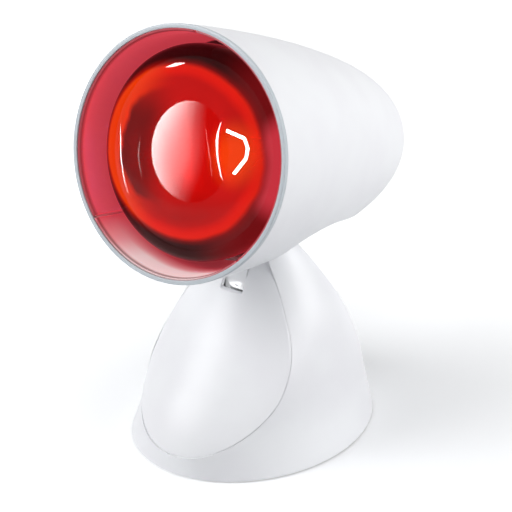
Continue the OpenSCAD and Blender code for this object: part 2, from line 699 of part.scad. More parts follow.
module tip_contact() color("silver") in_shade() translate([0, tip_s - 1.15, 0]) along_s()
    cylinder(h = 1.15, r1 = 4.6, r2 = 3.6, $fn = smooth);

// =============================================================================================
// Foot
module foot_hollow() {
    difference() {
        foot_body(foot_wall, -1, foot_top - foot_wall);
        // walls on both sides of the tilt arm's slot
        for (side = [-1, 1])
            translate([side > 0 ? slot_half_w : -slot_half_w - 1.5, -60, pivot_z + 4])
                cube([1.5, 120, 60]);
    }
}
module rear_shell() color(white) difference() {
    union() {
        difference() {
            intersection() {
                foot_body(0, skirt_gap, foot_top);
                under_dome(dome_r);
            }
            intersection() {
                foot_hollow();
                under_dome(dome_r - foot_wall);
            }
            // the panel closes this opening; the edge left round it is the panel's seat
            translate([0, pivot_y, 0]) rotate([90, 0, 0]) linear_extrude(120)
                panel_outline(panel_seat);
        }
        for (b = boss_spots) translate([b[0], b[1], plate_top + 0.1])
            cylinder(h = boss_top - plate_top, r = boss_out, $fn = small);
        // ribs that tie the front bosses to the side walls
        for (side = [-1, 1]) let (
                x0 = boss_x,
                x1 = body_side(boss_front, rib_top) - foot_wall / 2)
            translate([side > 0 ? x0 : -x1, boss_front - 1, plate_top + 0.1])
                cube([x1 - x0, 2, rib_top - plate_top]);
        // ribs that tie the rear bosses to the rear wall
        for (x = [-boss_rear_x, boss_rear_x])
            translate([x - 1, boss_rear, plate_top + 0.1])
                cube([2, body_rear(x, rib_top) - foot_wall / 2 - boss_rear, rib_top - plate_top]);
    }
    arm_slot(slot_half_w, notch_z - 8, rear_slot_z);
    // behind the panel the slot widens, to clear the hinge cheeks
    translate([-cheek_x - cheek_t - 1, -100, notch_z - 8])
        cube([2 * (cheek_x + cheek_t + 1), 97 + pivot_y, 100]);
    for (b = boss_spots) translate([b[0], b[1], 0])
        cylinder(h = boss_top - 1.5, r = screw_r + screw_gap, $fn = small);
    for (p = panel_pegs)
        translate([p[0] * (panel_w(p[1]) - panel_seat / 2), pivot_y, p[1]]) rotate([90, 0, 0])
            cylinder(h = 100, r = peg_r + screw_gap, $fn = small);
    translate([0, gland_y - 20, gland_z]) rotate([-90, 0, 0])
        cylinder(h = 40, r = gland_hole_r + 0.1, $fn = small);
    translate([-60, pivot_y, pivot_z]) rotate([0, 90, 0])
        translate([0, 0, 60 - cheek_x - cheek_t - 6]) cylinder(h = 2 * (cheek_x + cheek_t + 6),
            r = 9, $fn = small);
}
module front_panel() color(white) {
    levels = [for (z = foot_levels) if (z >= panel_low - eps) z];
    steps = 12;
    sections = [for (z = levels) let (w = panel_w(z)) concat(
        [for (i = [0 : steps]) let (x = w * (2 * i / steps - 1)) [x, panel_y(x, z)]],
        [for (i = [steps : -1 : 0]) let (x = w * (2 * i / steps - 1)) [x, panel_y(x, z) + panel_t]])];
    difference() {
        intersection() {
            loft(sections, levels);
            under_dome(dome_r);
        }
        arm_slot(slot_half_w, notch_z, notch_z);
    }
    for (p = panel_pegs) let (x = panel_w(p[1]) - panel_seat / 2, y = panel_y(x, p[1]) + panel_t)
        translate([p[0] * x, y - 0.8, p[1]]) rotate([-90, 0, 0])
            cylinder(h = foot_wall + seam + 2.5, r = peg_r, $fn = small);
}

// Pressed U: two cheeks carry the hinge pin, a cross web carries the detent
module hinge_bracket() color("silver") difference() {
    union() {
        for (side = [-1, 1]) translate([side > 0 ? cheek_x : -cheek_x - cheek_t, pivot_y, 0]) {
            translate([0, 0, pivot_z]) rotate([0, 90, 0])
                cylinder(h = cheek_t, r = cheek_half, $fn = smooth);
            translate([0, -cheek_half, bracket_floor + 0.05])
                cube([cheek_t, 2 * cheek_half, pivot_z - bracket_floor]);
        }
        translate([-24, pivot_y - cheek_half, bracket_floor + 0.05])
            cube([48, 2 * cheek_half, cheek_t]);
        translate([-cheek_x - 1, pivot_y - 7, barrel_floor - 2.5]) cube([2 * cheek_x + 2, 14, 2.5]);
        translate([0, pivot_y, barrel_floor - 1]) cylinder(h = 13, r = detent_r + 2, $fn = small);
    }
    translate([-30, pivot_y, pivot_z]) rotate([0, 90, 0])
        cylinder(h = 60, r = pin_r + pin_gap, $fn = smooth);
    translate([0, pivot_y, barrel_floor]) cylinder(h = 30, r = detent_r + 0.1, $fn = small);
    for (b = bolt_spots) translate([b[0], b[1], bracket_floor - 1])
        cylinder(h = 9, r = screw_r + screw_gap, $fn = small);
}
module bracket_bolts() color("silver") for (b = bolt_spots)
    screw_down(b[0], b[1], bracket_floor + cheek_t + 0.1, cheek_t + 6);
module ballast_plate() color("#3a3d40") difference() {
    translate([0, ballast_y, plate_top + 0.05]) cylinder(h = ballast_t - 0.05, r = ballast_r, $fn = smooth);
    for (b = concat(bolt_spots, ballast_spots)) translate([b[0], b[1], plate_top - 1])
        cylinder(h = ballast_t + 2, r = screw_r + screw_gap, $fn = small);
}
module screw_up(p, z_head, length) {
    translate([p[0], p[1], z_head]) cylinder(h = head_t, r = head_r, $fn = small);
    translate([p[0], p[1], z_head + head_t - eps]) cylinder(h = length, r = screw_r, $fn = small);
}
sunk_z = plate_z + 0.2;
module ballast_screws() color("silver") for (p = ballast_spots)
    screw_up(p, sunk_z, plate_top + 6 - sunk_z - head_t);
module bottom_screws() color("silver") for (p = boss_spots)
    screw_up(p, sunk_z, boss_top - 3 - sunk_z - head_t);
module bottom_plate() color("#2b2d30") difference() {
    translate([0, 0, plate_z]) linear_extrude(plate_t) polygon(whole_section(plate_top, foot_wall + seam));
    translate([0, 0, plate_z - 1]) difference() {
        cylinder(h = 2, r = ring_r + 0.1, $fn = smooth);
        translate([0, 0, -1]) cylinder(h = 4, r = ring_r - ring_w - 0.1, $fn = smooth);
    }
    for (p = concat(boss_spots, ballast_spots)) translate([p[0], p[1], plate_z - 1]) {
        cylinder(h = 5, r = screw_r + screw_gap, $fn = small);
        cylinder(h = 1 + sunk_z - plate_z + head_t + 0.05, r = head_r + 0.15, $fn = small);
    }
}
module foot_ring() color("#1c1d1f") difference() {
    cylinder(h = ring_h - 0.05, r = ring_r, $fn = smooth);
    translate([0, 0, -1]) cylinder(h = 4, r = ring_r - ring_w, $fn = smooth);
}

pin_end = cheek_x + cheek_t + 0.1;
nut_t = 3.2;
module hinge_pin() color("silver") translate([0, pivot_y, pivot_z]) rotate([0, 90, 0]) {
    translate([0, 0, -pin_end - nut_t - 0.8]) cylinder(h = 2 * pin_end + nut_t + 0.9, r = pin_r, $fn = smooth);
    translate([0, 0, pin_end]) cylinder(h = 2.2, r = pin_r + 2.5, $fn = smooth);
}
module hinge_nut() color("silver") translate([-pin_end - nut_t, pivot_y, pivot_z]) rotate([0, 90, 0])
    difference() {
        cylinder(h = nut_t, r = pin_r + 3, $fn = 6);
        translate([0, 0, -1]) cylinder(h = nut_t + 2, r = pin_r + pin_gap, $fn = smooth);
    }
module hinge_washers() color("silver") for (side = [-1, 1])
    translate([side > 0 ? drum_w / 2 + 0.05 : -cheek_x + 0.05, pivot_y, pivot_z]) rotate([0, 90, 0])
        difference() {
            cylinder(h = cheek_x - drum_w / 2 - 0.1, r = pin_r + 3.5, $fn = smooth);
            translate([0, 0, -1]) cylinder(h = 10, r = pin_r + pin_gap + 0.05, $fn = smooth);
        }
module detent_spring() color("silver") translate([0, pivot_y, barrel_floor + 0.05]) difference() {
    cylinder(h = ball_z - detent_r - barrel_floor - 0.1, r = detent_r - 0.1, $fn = small);
    translate([0, 0, -1]) cylinder(h = 30, r = detent_r - 0.8, $fn = small);
}
module detent_ball() color("silver") translate([0, pivot_y, ball_z]) sphere(r = detent_r, $fn = small);

block_y = 22;
block_w = 24;
block_d = 12;
block_h = 12;
module terminal_block() color("#e6e6e2") difference() {
    translate([-block_w / 2, block_y, ballast_top + 0.05]) cube([block_w, block_d, block_h]);
    for (x = [-7, 0, 7]) {
        translate([x, block_y - 1, ballast_top + 5]) rotate([-90, 0, 0])
            cylinder(h = block_d + 2, r = 1.7, $fn = small);
        translate([x, block_y + block_d / 2, ballast_top + 5]) cylinder(h = 20, r = 1.8, $fn = small);
    }
}
module terminal_screws() color("silver") for (x = [-7, 0, 7])
    translate([x, block_y + block_d / 2, ballast_top + 7.3]) cylinder(h = 4.2, r = 1.75, $fn = small);
base_cable_pts = [[-7, block_y + 3, ballast_top + 5], [-7, block_y - 3, ballast_top + 5],
    [-3, clip_y + 7, ballast_top + 16], [0, clip_y, ballast_top + 26], [0, clip_y, clip_z + 5]];
module base_cable() color("dimgray") cable(base_cable_pts, cable_r);
// Clip between the cheeks that holds the cable below the hinge
module cable_clip() color("#e6e6e2") difference() {
    translate([-cheek_x + 0.05, clip_y - 3.5, clip_z - 3]) cube([2 * cheek_x - 0.1, 6, 6]);
    translate([0, clip_y, clip_z - 5]) cylinder(h = 12, r = cable_r + 0.1, $fn = small);
}
module cord_gland() color("#e6e6e2") translate([0, gland_y, gland_z]) rotate([-90, 0, 0])
    difference() {
        union() {
            translate([0, 0, -foot_wall - 5]) cylinder(h = foot_wall + 6, r = gland_hole_r, $fn = small);
            translate([0, 0, -foot_wall - 7]) cylinder(h = 2.4, r = gland_hole_r + 1.8, $fn = small);
        }
        translate([0, 0, -20]) cylinder(h = 40, r = cord_r, $fn = small);
    }

shade_shell();
rim_ring();
liner_right();
liner_left();
liner_lower();
saddle_cover();
saddle_screws();
tilt_arm();
arm_screws();
holder_bracket();
bracket_screws();
lampholder();
holder_screws();
thread_shell();
centre_contact();
shade_cable();
bulb_envelope();
bulb_filament();
filament_supports();
bulb_stem();
screw_cap();
cap_insulator();
tip_contact();
rear_shell();
front_panel();
hinge_bracket();
bracket_bolts();
ballast_plate();
ballast_screws();
bottom_plate();
bottom_screws();
foot_ring();
hinge_pin();
hinge_nut();
hinge_washers();
detent_spring();
detent_ball();
terminal_block();
terminal_screws();
base_cable();
cable_clip();
cord_gland();
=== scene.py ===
"""Looks of the infrared heat lamp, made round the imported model.

Shapes are worked out in millimetres and put in the model's frame, in metres, by place().
Those of the shade and the bulb are drawn in the shade's own frame: s runs rearwards from the
mouth along +Y, and +Z is up. Those of the foot are drawn in the lamp's frame.
"""
import math

import bmesh
import bpy
from mathutils import Matrix, Vector
from mathutils.geometry import delaunay_2d_cdt


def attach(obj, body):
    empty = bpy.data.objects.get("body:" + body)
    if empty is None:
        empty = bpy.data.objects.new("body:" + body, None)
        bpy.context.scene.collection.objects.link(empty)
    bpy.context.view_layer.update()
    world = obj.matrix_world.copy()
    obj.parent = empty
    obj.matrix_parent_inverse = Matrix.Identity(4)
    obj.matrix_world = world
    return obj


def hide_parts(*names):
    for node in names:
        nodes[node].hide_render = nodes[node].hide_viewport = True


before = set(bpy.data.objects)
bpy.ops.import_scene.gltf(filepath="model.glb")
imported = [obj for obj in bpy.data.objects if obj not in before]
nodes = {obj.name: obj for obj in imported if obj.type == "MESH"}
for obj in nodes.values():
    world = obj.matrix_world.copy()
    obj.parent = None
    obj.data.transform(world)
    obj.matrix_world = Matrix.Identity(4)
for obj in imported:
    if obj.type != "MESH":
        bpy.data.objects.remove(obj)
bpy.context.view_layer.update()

# ---- Sizes, in millimetres -----------------------------------------------------------------
PITCH = 15.2
PIVOT_Y = 2
PIVOT_Z = 82
PIVOT_S = 75.6
PIVOT_DROP = 54.5

SHADE_R = 56
SHADE_LEN = 163
SHADE_WALL = 2
RIM_W = 2
RIM_DEPTH = 2.4
TENON_DEPTH = 2.4
LINER_T = 0.8
LINER_STEP = 0.7
LINER_END = 41.6
# Half of the lower segment and half of the gap at the top joint, in degrees
LINER_LOW_HALF = 47
LINER_JOINT = 0.6
SEAM = 0.3

BULB_R = 47.5
BULB_APEX = 2.5
BULB_DOME = 16
BULB_FULL = 3
BULB_BELL = 66
BULB_NECK_R = 19
GLASS_T = 0.9
FILAMENT_S = 42
# Painted orange ring of light on the front of the glass: its centre and reach in (x, z)
RING_CENTRE = (-1.1, 0.7)
RING_REACH = (42.9, 38.6)
# Painted glow on the front of the glass beside the filament
HALO_CENTRE = (27, 6)
HALO_REACH = (15, 18)
# Painted light: a light red band on the glass's right shoulder
BAND_CENTRE = (BULB_R, 5)
BAND_REACH = (16, 30)

DOME_R = 20
NOTCH_Z = 73.9
SLOT_HALF_W = 6.1
PANEL_T = 2.4
PANEL_SEAT = 5
PANEL_HALF_W = 37.1
PANEL_MID = 38
PANEL_DROP = 28.5
PANEL_BELL = 52
FRONT_BELL = 65.3
FOOT_FRONT = 64.5
FOOT_WALL = 2.3
FOOT_TOP = 103
SKIRT_GAP = 0.8
SCREW_R = 1.45

TO_METRES = Matrix.Scale(0.001, 4)
IN_LAMP = Matrix.Identity(4)
IN_SHADE = (Matrix.Translation((0, PIVOT_Y, PIVOT_Z))
            @ Matrix.Rotation(math.radians(-PITCH), 4, "X")
            @ Matrix.Translation((0, -PIVOT_S, PIVOT_DROP)))
SHADE_ORIGIN = (TO_METRES @ IN_SHADE).translation


def new_object(name, data):
    """An object in the scene."""
    made = bpy.data.objects.new(name, data)
    bpy.context.scene.collection.objects.link(made)
    return made


# ---- Camera: stands where the photograph was taken from ------------------------------------
CAMERA_AZIMUTH = math.radians(35.40)
CAMERA_HEIGHT = math.radians(25.34)
CAMERA_DISTANCE = 0.9971
CAMERA_ACROSS = 0.00152
CAMERA_UP = 0.07672
HALF_VIEW = math.radians(7)


def towards(azimuth, height):
    """Unit vector from the lamp outwards: azimuth 0 is its front, 90 its own +X side."""
    return Vector((math.sin(azimuth) * math.cos(height), -math.cos(azimuth) * math.cos(height),
                   math.sin(height)))


def add_camera():
    back = towards(CAMERA_AZIMUTH, CAMERA_HEIGHT)
    right = Vector((math.cos(CAMERA_AZIMUTH), math.sin(CAMERA_AZIMUTH), 0))
    up = back.cross(right)
    data = bpy.data.cameras.new("camera")
    data.sensor_width = 36
    data.lens = data.sensor_width / 2 / math.tan(HALF_VIEW)
    data.clip_start = 0.01
    camera = new_object("camera", data)
    turn = Matrix((right, up, back)).transposed().to_4x4()
    place_at = back * CAMERA_DISTANCE + right * CAMERA_ACROSS + up * CAMERA_UP
    camera.matrix_world = Matrix.Translation(place_at) @ turn
    bpy.context.scene.camera = camera


# ---- Nodes and materials -------------------------------------------------------------------
def linear(code):
    """Linear colour, with its alpha, of an sRGB hex code."""
    parts = [int(code[i:i + 2], 16) / 255 for i in (1, 3, 5)]
    return tuple(c / 12.92 if c <= 0.04045 else ((c + 0.055) / 1.055) ** 2.4
                 for c in parts) + (1.0,)


def feed(tree, node, ins):
    """Sets a node's inputs, to values or from sockets to link."""
    for key, value in ins.items():
        if isinstance(value, bpy.types.NodeSocket):
            tree.links.new(value, node.inputs[key])
        else:
            node.inputs[key].default_value = value


def add(tree, kind, ins=None, stops=None, **settings):
    """Adds a node, with its inputs, a ramp's stops and its own settings."""
    made = tree.nodes.new(kind)
    for key, value in settings.items():
        setattr(made, key, value)
    feed(tree, made, ins or {})
    for i, (position, colour) in enumerate(stops or []):
        elements = made.color_ramp.elements
        element = elements[i] if i < len(elements) else elements.new(position)
        element.position = position
        element.color = linear(colour) if isinstance(colour, str) else (colour,) * 3 + (1,)
    return made


def empty_tree(owner):
    """The owner's node tree, with nothing in it."""
    owner.use_nodes = True
    owner.node_tree.nodes.clear()
    return owner.node_tree


def new_material(name):
    """A material with nothing but its Principled shader."""
    made = bpy.data.materials.new(name)
    tree = empty_tree(made)
    shader = add(tree, "ShaderNodeBsdfPrincipled")
    add(tree, "ShaderNodeOutputMaterial", {"Surface": shader.outputs[0]})
    return made, tree, shader


def in_mm(tree):
    """Object coordinates, in millimetres."""
    where = add(tree, "ShaderNodeTexCoord")
    scaled = add(tree, "ShaderNodeMapping", {"Vector": where.outputs["Object"],
                                             "Scale": (1000, 1000, 1000)})
    return scaled.outputs[0]


def from_shade(tree):
    """Coordinates in the shade's own frame, in millimetres: (x, s, z)."""
    where = add(tree, "ShaderNodeTexCoord")
    turned = add(tree, "ShaderNodeMapping", {
        "Vector": where.outputs["Object"], "Location": SHADE_ORIGIN,
        "Rotation": (math.radians(-PITCH), 0, 0), "Scale": (0.001, 0.001, 0.001)},
        vector_type="TEXTURE")
    return turned.outputs[0]


GRAIN_DEPTH = 0.00001


def fine_grain(tree, shader, grain, colours, roughness):
    """A surface's small unevenness: grain in millimetres, with its colour and gloss varied."""
    position = in_mm(tree)
    fine = add(tree, "ShaderNodeTexNoise", {"Vector": position, "Scale": 1 / grain, "Detail": 3})
    wide = add(tree, "ShaderNodeTexNoise", {"Vector": position, "Scale": 0.03, "Detail": 2})
    tone = add(tree, "ShaderNodeValToRGB", {"Fac": wide.outputs[0]},
               stops=[(0.35, colours[0]), (0.65, colours[1])])
    gloss = add(tree, "ShaderNodeMapRange", {
        "Value": fine.outputs[0], "From Min": 0.3, "From Max": 0.7,
        "To Min": roughness[0], "To Max": roughness[1]})
    relief = add(tree, "ShaderNodeBump", {"Height": fine.outputs[0], "Distance": GRAIN_DEPTH,
                                          "Strength": 0.5})
    feed(tree, shader, {"Base Color": tone.outputs[0], "Roughness": gloss.outputs[0],
                        "Normal": relief.outputs[0]})


def satin_abs(name, colours, roughness=(0.36, 0.44)):
    """Moulded ABS from a finely spark-eroded tool, with a soft sheen; also stands for the other
    smooth, unmetallic surfaces, by their colours and roughness."""
    made, tree, shader = new_material(name)
    fine_grain(tree, shader, 0.45, colours, roughness)
    feed(tree, shader, {"IOR": 1.5})
    return made


def turned_metal(name, colours, roughness, grain=0.2):
    """Metal with fine tool marks, whose gloss breaks the reflections up a little."""
    made, tree, shader = new_material(name)
    fine_grain(tree, shader, grain, colours, roughness)
    feed(tree, shader, {"Metallic": 1.0})
    return made


def layered(tree, under, *layers):
    """A colour with others laid over it in turn, each by its share."""
    for share, over in layers:
        below, above = (linear(c) if isinstance(c, str) else c for c in (under, over))
        mixed = add(tree, "ShaderNodeMix", {0: share, 6: below, 7: above}, data_type="RGBA")
        under = mixed.outputs[2]
    return under


def shares_of(tree, given, fades, joins):
    """Shares of a surface, by name. A fade follows a value from where it starts to where it is
    full, between two levels; a join puts two shares together."""
    shares = dict(given)
    for key, value, start, full, least, most, kind in fades:
        shares[key] = add(tree, "ShaderNodeMapRange", {
            "Value": value, "From Min": start, "From Max": full, "To Min": least,
            "To Max": most}, interpolation_type=kind).outputs[0]
    for key, operation, first, second in joins:
        shares[key] = add(tree, "ShaderNodeMath", {0: shares[first], 1: shares[second]},
                          operation=operation).outputs[0]
    return shares


def liner_material():
    """Satin aluminium sheet, rolled. The bulb's red light on it is painted into its colour and its
    glow, deep inside and at the sides; near the mouth of the lower segment its own pale grey
    shows, brightened by a painted glow, and it is paler beside the top joint. Painted shade
    darkens it deep at the bottom and at the rolled lip."""
    made, tree, shader = new_material("rolled_satin_aluminium")
    place_s = from_shade(tree)
    x, s, z = add(tree, "ShaderNodeSeparateXYZ", {"Vector": place_s}).outputs
    rolled = add(tree, "ShaderNodeMapping", {"Vector": place_s, "Scale": (1, 0.08, 1)})
    grain = add(tree, "ShaderNodeTexNoise", {"Vector": rolled.outputs[0], "Scale": 1.6,
                                             "Detail": 3})
    right_of_joint = add(tree, "ShaderNodeMath", {0: x, 1: 0.0}, operation="GREATER_THAN")
    shares = shares_of(tree, {"right": right_of_joint.outputs[0]}, [
        ("low", z, -37, -50, 0, 1, "LINEAR"), ("front", s, 23, 12, 0, 1, "LINEAR"),
        ("high", z, 40, 47, 0, 0.28, "LINEAR"), ("by_joint", x, 22, 3, 0, 1, "LINEAR"),
        ("deep", s, 14, 28, 0, 0.7, "LINEAR"), ("lip", s, 3.5, 1.5, 0, 0.7, "LINEAR"),
    ], [
        ("below", "MULTIPLY", "low", "front"), ("beside", "MULTIPLY", "by_joint", "right"),
        ("above", "MULTIPLY", "high", "beside"), ("pale", "MAXIMUM", "below", "above"),
        ("shadow", "MULTIPLY", "low", "deep"), ("painted_shade", "MAXIMUM", "shadow", "lip"),
    ])
    # Painted light: the red is the bulb's light painted into the sheet's colour and glow; where it
    # fades out the sheet's own pale grey shows, brightened by painted glow. Painted shade darkens
    # the glow deep at the bottom and at the lip, and the lip's colour too.
    tone = add(tree, "ShaderNodeValToRGB", {"Fac": shares["pale"]},
               stops=[(0.0, "#d05864"), (0.45, "#d48c92"), (1.0, "#dccccc")])
    lit = add(tree, "ShaderNodeValToRGB", {"Fac": shares["pale"]},
              stops=[(0.0, "#be3a46"), (0.6, "#c87478"), (1.0, "#d0b0b0")])
    relief = add(tree, "ShaderNodeBump", {"Height": grain.outputs[0], "Distance": 0.00002,
                                          "Strength": 0.4})
    feed(tree, shader, {
        "Base Color": layered(tree, tone.outputs[0], (shares["lip"], "#4a2024")),
        "Emission Color": layered(tree, lit.outputs[0], (shares["painted_shade"], "#4a1016")),
        "Emission Strength": 0.9, "Normal": relief.outputs[0], "Metallic": 0.35,
        "Roughness": 0.34})
    return made


def spread(tree, place_s, centre, reach):
    """Distance from a centre (x, z) in the shade's frame, as a share of the reach along each."""
    moved = add(tree, "ShaderNodeVectorMath", {0: place_s, 1: (centre[0], 0, centre[1])},
                operation="SUBTRACT")
    shares = add(tree, "ShaderNodeVectorMath", {
        0: moved.outputs[0], 1: (1 / reach[0], 0, 1 / reach[1])}, operation="MULTIPLY")
    return add(tree, "ShaderNodeVectorMath", {0: shares.outputs[0]},
               operation="LENGTH").outputs["Value"]


def wavering(tree, place_s, value, scale, most):
    """The value, swaying from place to place by up to the given amount."""
    uneven = add(tree, "ShaderNodeTexNoise", {"Vector": place_s, "Scale": scale, "Detail": 2})
    sway = add(tree, "ShaderNodeMapRange", {"Value": uneven.outputs[0], "From Min": 0.3,
                                            "From Max": 0.7, "To Min": -most, "To Max": most})
    return add(tree, "ShaderNodeMath", {0: value, 1: sway.outputs[0]},
               operation="ADD").outputs[0]


def ruby_glass():
    """Blown soda glass stained ruby, whose glow is painted light: an orange ring where the
    reflector throws the filament's light on the front, an orange glow beside the filament and
    a light red band on the right shoulder. Painted shade makes it near black where the wall
    turns away at the bulb's shoulder, darker low inside the ring and darker in a patch inside
    the ring where the neck's shadow falls. All are painted on by place in the shade's frame."""
    made, tree, shader = new_material("blown_ruby_glass")
    place_s = from_shade(tree)
    x, s, z = add(tree, "ShaderNodeSeparateXYZ", {"Vector": place_s}).outputs
    ring = wavering(tree, place_s, spread(tree, place_s, RING_CENTRE, RING_REACH), 0.05, 0.012)
    frayed = wavering(tree, place_s, ring, 0.06, 0.05)
    broad = add(tree, "ShaderNodeValToRGB", {"Fac": ring}, stops=[
        (0.0, "#c80e0c"), (0.5, "#b00c0c"), (0.69, "#b01008"), (0.75, "#e43004"),
        (0.95, "#e83c04"), (0.99, "#b81404")])
    narrow = add(tree, "ShaderNodeValToRGB", {"Fac": ring}, stops=[
        (0.0, "#cc100c"), (0.6, "#b80c0a"), (0.82, "#b40c0a"), (0.9, "#d81408"),
        (0.95, "#dc1a08"), (1.0, "#8a0808")])
    band = add(tree, "ShaderNodeValToRGB", {"Fac": frayed}, stops=[
        (0.2, 0.0), (0.3, 0.8), (0.5, 1.0), (0.7, 1.0), (0.77, 0.0)])
    clear = add(tree, "ShaderNodeValToRGB", {"Fac": ring}, stops=[
        (0.0, "#8a0f0c"), (0.92, "#8a0f0c"), (1.0, "#38050a")])
    from_halo = spread(tree, place_s, HALO_CENTRE, HALO_REACH)
    from_band = spread(tree, place_s, BAND_CENTRE, BAND_REACH)
    shares = shares_of(tree, {"band": band.outputs[0]}, [
        ("to_right", x, -34, -8, 0, 1, "SMOOTHSTEP"), ("at_left", x, -1, -20, 0, 1, "SMOOTHSTEP"),
        ("under_top", z, 31, 9, 0.15, 1, "SMOOTHSTEP"), ("low", z, -12, -28, 0, 0.5, "LINEAR"),
        ("inside", ring, 0.84, 0.74, 0, 1, "LINEAR"),
        ("by_coil", from_halo, 1, 0.2, 0, 1, "SMOOTHSTEP"),
        ("beyond", ring, 0.95, 1.06, 0, 1, "SMOOTHSTEP"), ("on_bell", s, 13, 18, 0, 1, "LINEAR"),
        ("rightwards", x, 8, 32, 0, 1, "SMOOTHSTEP"),
        ("to_band", from_band, 1, 0.5, 0, 1, "SMOOTHSTEP"),
    ], [
        ("beside", "MULTIPLY", "at_left", "under_top"), ("painted_shade", "MULTIPLY", "band", "beside"),
        ("dim", "MULTIPLY", "low", "inside"), ("past_ring", "MAXIMUM", "beyond", "on_bell"),
    ])
    # Painted light: the ring's orange, the glow by the coil and the light band on the right
    # shoulder. Painted shade: the patch where the neck's shadow falls, the darker low inside of
    # the ring and the near black shoulder.
    front = layered(tree, broad.outputs[0], (shares["to_right"], narrow.outputs[0]),
                    (shares["painted_shade"], "#680808"), (shares["dim"], "#6a0808"),
                    (shares["by_coil"], "#f0400c"))
    shoulder = layered(tree, "#260304", (shares["rightwards"], "#6c0f12"),
                       (shares["to_band"], "#c83440"))
    facing = add(tree, "ShaderNodeNewGeometry")
    outside = add(tree, "ShaderNodeMath", {0: 1.0, 1: facing.outputs["Backfacing"]},
                  operation="SUBTRACT")
    lit = add(tree, "ShaderNodeMath", {0: outside.outputs[0], 1: 0.95}, operation="MULTIPLY")
    # The neck's painted shadow darkens the glass's own colour too.
    feed(tree, shader, {
        "Base Color": layered(tree, clear.outputs[0], (shares["painted_shade"], "#400506")),
        "Emission Color": layered(tree, front, (shares["past_ring"], shoulder)),
        "Emission Strength": lit.outputs[0], "Specular Tint": (0.75, 0.7, 0.7, 1),
        "Roughness": 0.02, "IOR": 1.2, "Transmission Weight": 0.8})
    return made


def mirror_coat():
    """Aluminium vapour-coated on the glass's inside: a soft mirror, seen red through the glass."""
    made, tree, shader = new_material("vapour_coated_mirror")
    uneven = add(tree, "ShaderNodeTexNoise", {"Vector": from_shade(tree), "Scale": 0.06,
                                              "Detail": 3})
    tone = add(tree, "ShaderNodeValToRGB", {"Fac": uneven.outputs[0]},
               stops=[(0.3, "#d8caca"), (0.7, "#f2ecec")])
    feed(tree, shader, {"Base Color": tone.outputs[0], "Metallic": 1.0, "Roughness": 0.22})
    return made


def glowing_tungsten():
    """Coiled tungsten wire at work: white-hot, so that it stays white through the red glass."""
    made, tree, shader = new_material("glowing_tungsten")
    grain = add(tree, "ShaderNodeTexNoise", {"Vector": in_mm(tree), "Scale": 0.8})
    heat = add(tree, "ShaderNodeValToRGB", {"Fac": grain.outputs[0]},
               stops=[(0.3, "#ffe6c8"), (0.7, "#fff6ea")])
    in_glass = add(tree, "ShaderNodeLightPath").outputs["Is Transmission Ray"]
    through = add(tree, "ShaderNodeMapRange", {"Value": in_glass, "To Min": 20,
                                               "To Max": 40000})
    feed(tree, shader, {
        "Emission Color": layered(tree, heat.outputs[0], (in_glass, (0.02, 0.8, 1, 1))),
        "Emission Strength": through.outputs[0], "Base Color": linear("#8a8580"),
        "Roughness": 0.4})
    return made


def clear_glass():
    """Pressed lead glass of the stem: clear, with slow waves that bend what is behind it."""
    made, tree, shader = new_material("pressed_lead_glass")
    waves = add(tree, "ShaderNodeTexNoise", {"Vector": in_mm(tree), "Scale": 0.2})
    relief = add(tree, "ShaderNodeBump", {"Height": waves.outputs[0], "Distance": 0.0003,
                                          "Strength": 0.4})
    feed(tree, shader, {"Normal": relief.outputs[0], "Base Color": linear("#f4f6f6"),
                        "Transmission Weight": 1.0, "Roughness": 0.02, "IOR": 1.52})
    return made


# ---- Meshes --------------------------------------------------------------------------------
SHARP = math.radians(28)


def mesh_piece(name, points, faces):
    """A new object from points in millimetres, with its doubles merged and faces outwards."""
    mesh = bpy.data.meshes.new(name)
    mesh.from_pydata([tuple(p) for p in points], [], faces)
    shape = bmesh.new()
    shape.from_mesh(mesh)
    bmesh.ops.remove_doubles(shape, verts=shape.verts, dist=0.002)
    bmesh.ops.recalc_face_normals(shape, faces=shape.faces)
    shape.to_mesh(mesh)
    shape.free()
    return new_object(name, mesh)


def change(piece, tool, operation="DIFFERENCE"):
    """Cuts away, joins or keeps what a tool solid covers, once the piece is baked."""
    step = piece.modifiers.new(operation.lower(), "BOOLEAN")
    step.object = tool
    step.operation = operation
    step.solver = "EXACT"


def baked(piece):
    """Turns what a piece's modifiers make into its own plain mesh, and drops their tools."""
    bpy.context.view_layer.update()
    made = piece.evaluated_get(bpy.context.evaluated_depsgraph_get())
    mesh = bpy.data.meshes.new_from_object(made)
    mesh.name = piece.name
    used = [step.object for step in piece.modifiers if step.type == "BOOLEAN"]
    piece.modifiers.clear()
    piece.data = mesh
    for tool in used:
        if not tool.get("kept"):
            bpy.data.objects.remove(tool)
    return piece


def trimmed(stud, core):
    """A stud cut off at the inside of the core solid, which is kept for the next one."""
    core["kept"] = True
    change(stud, core, "INTERSECT")
    return baked(stud)


def place(piece, where, body, slot, material, *replaced):
    """Bakes a piece, puts it in the lamp, in metres, gives it its material, hangs it on its
    body and hides the parts of the model that it replaces.
    """
    baked(piece)
    piece.data.transform(TO_METRES @ where)
    piece.data.materials.clear()
    piece.data.materials.append(material)
    smooth_within(piece.data, SHARP)
    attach(piece, body)
    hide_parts(*replaced)


def smooth_within(mesh, angle):
    """Smooth shading, broken at edges that turn more than the angle."""
    shape = bmesh.new()
    shape.from_mesh(mesh)
    for face in shape.faces:
        face.smooth = True
    for edge in shape.edges:
        edge.smooth = len(edge.link_faces) == 2 and edge.calc_face_angle(0) < angle
    shape.to_mesh(mesh)
    shape.free()


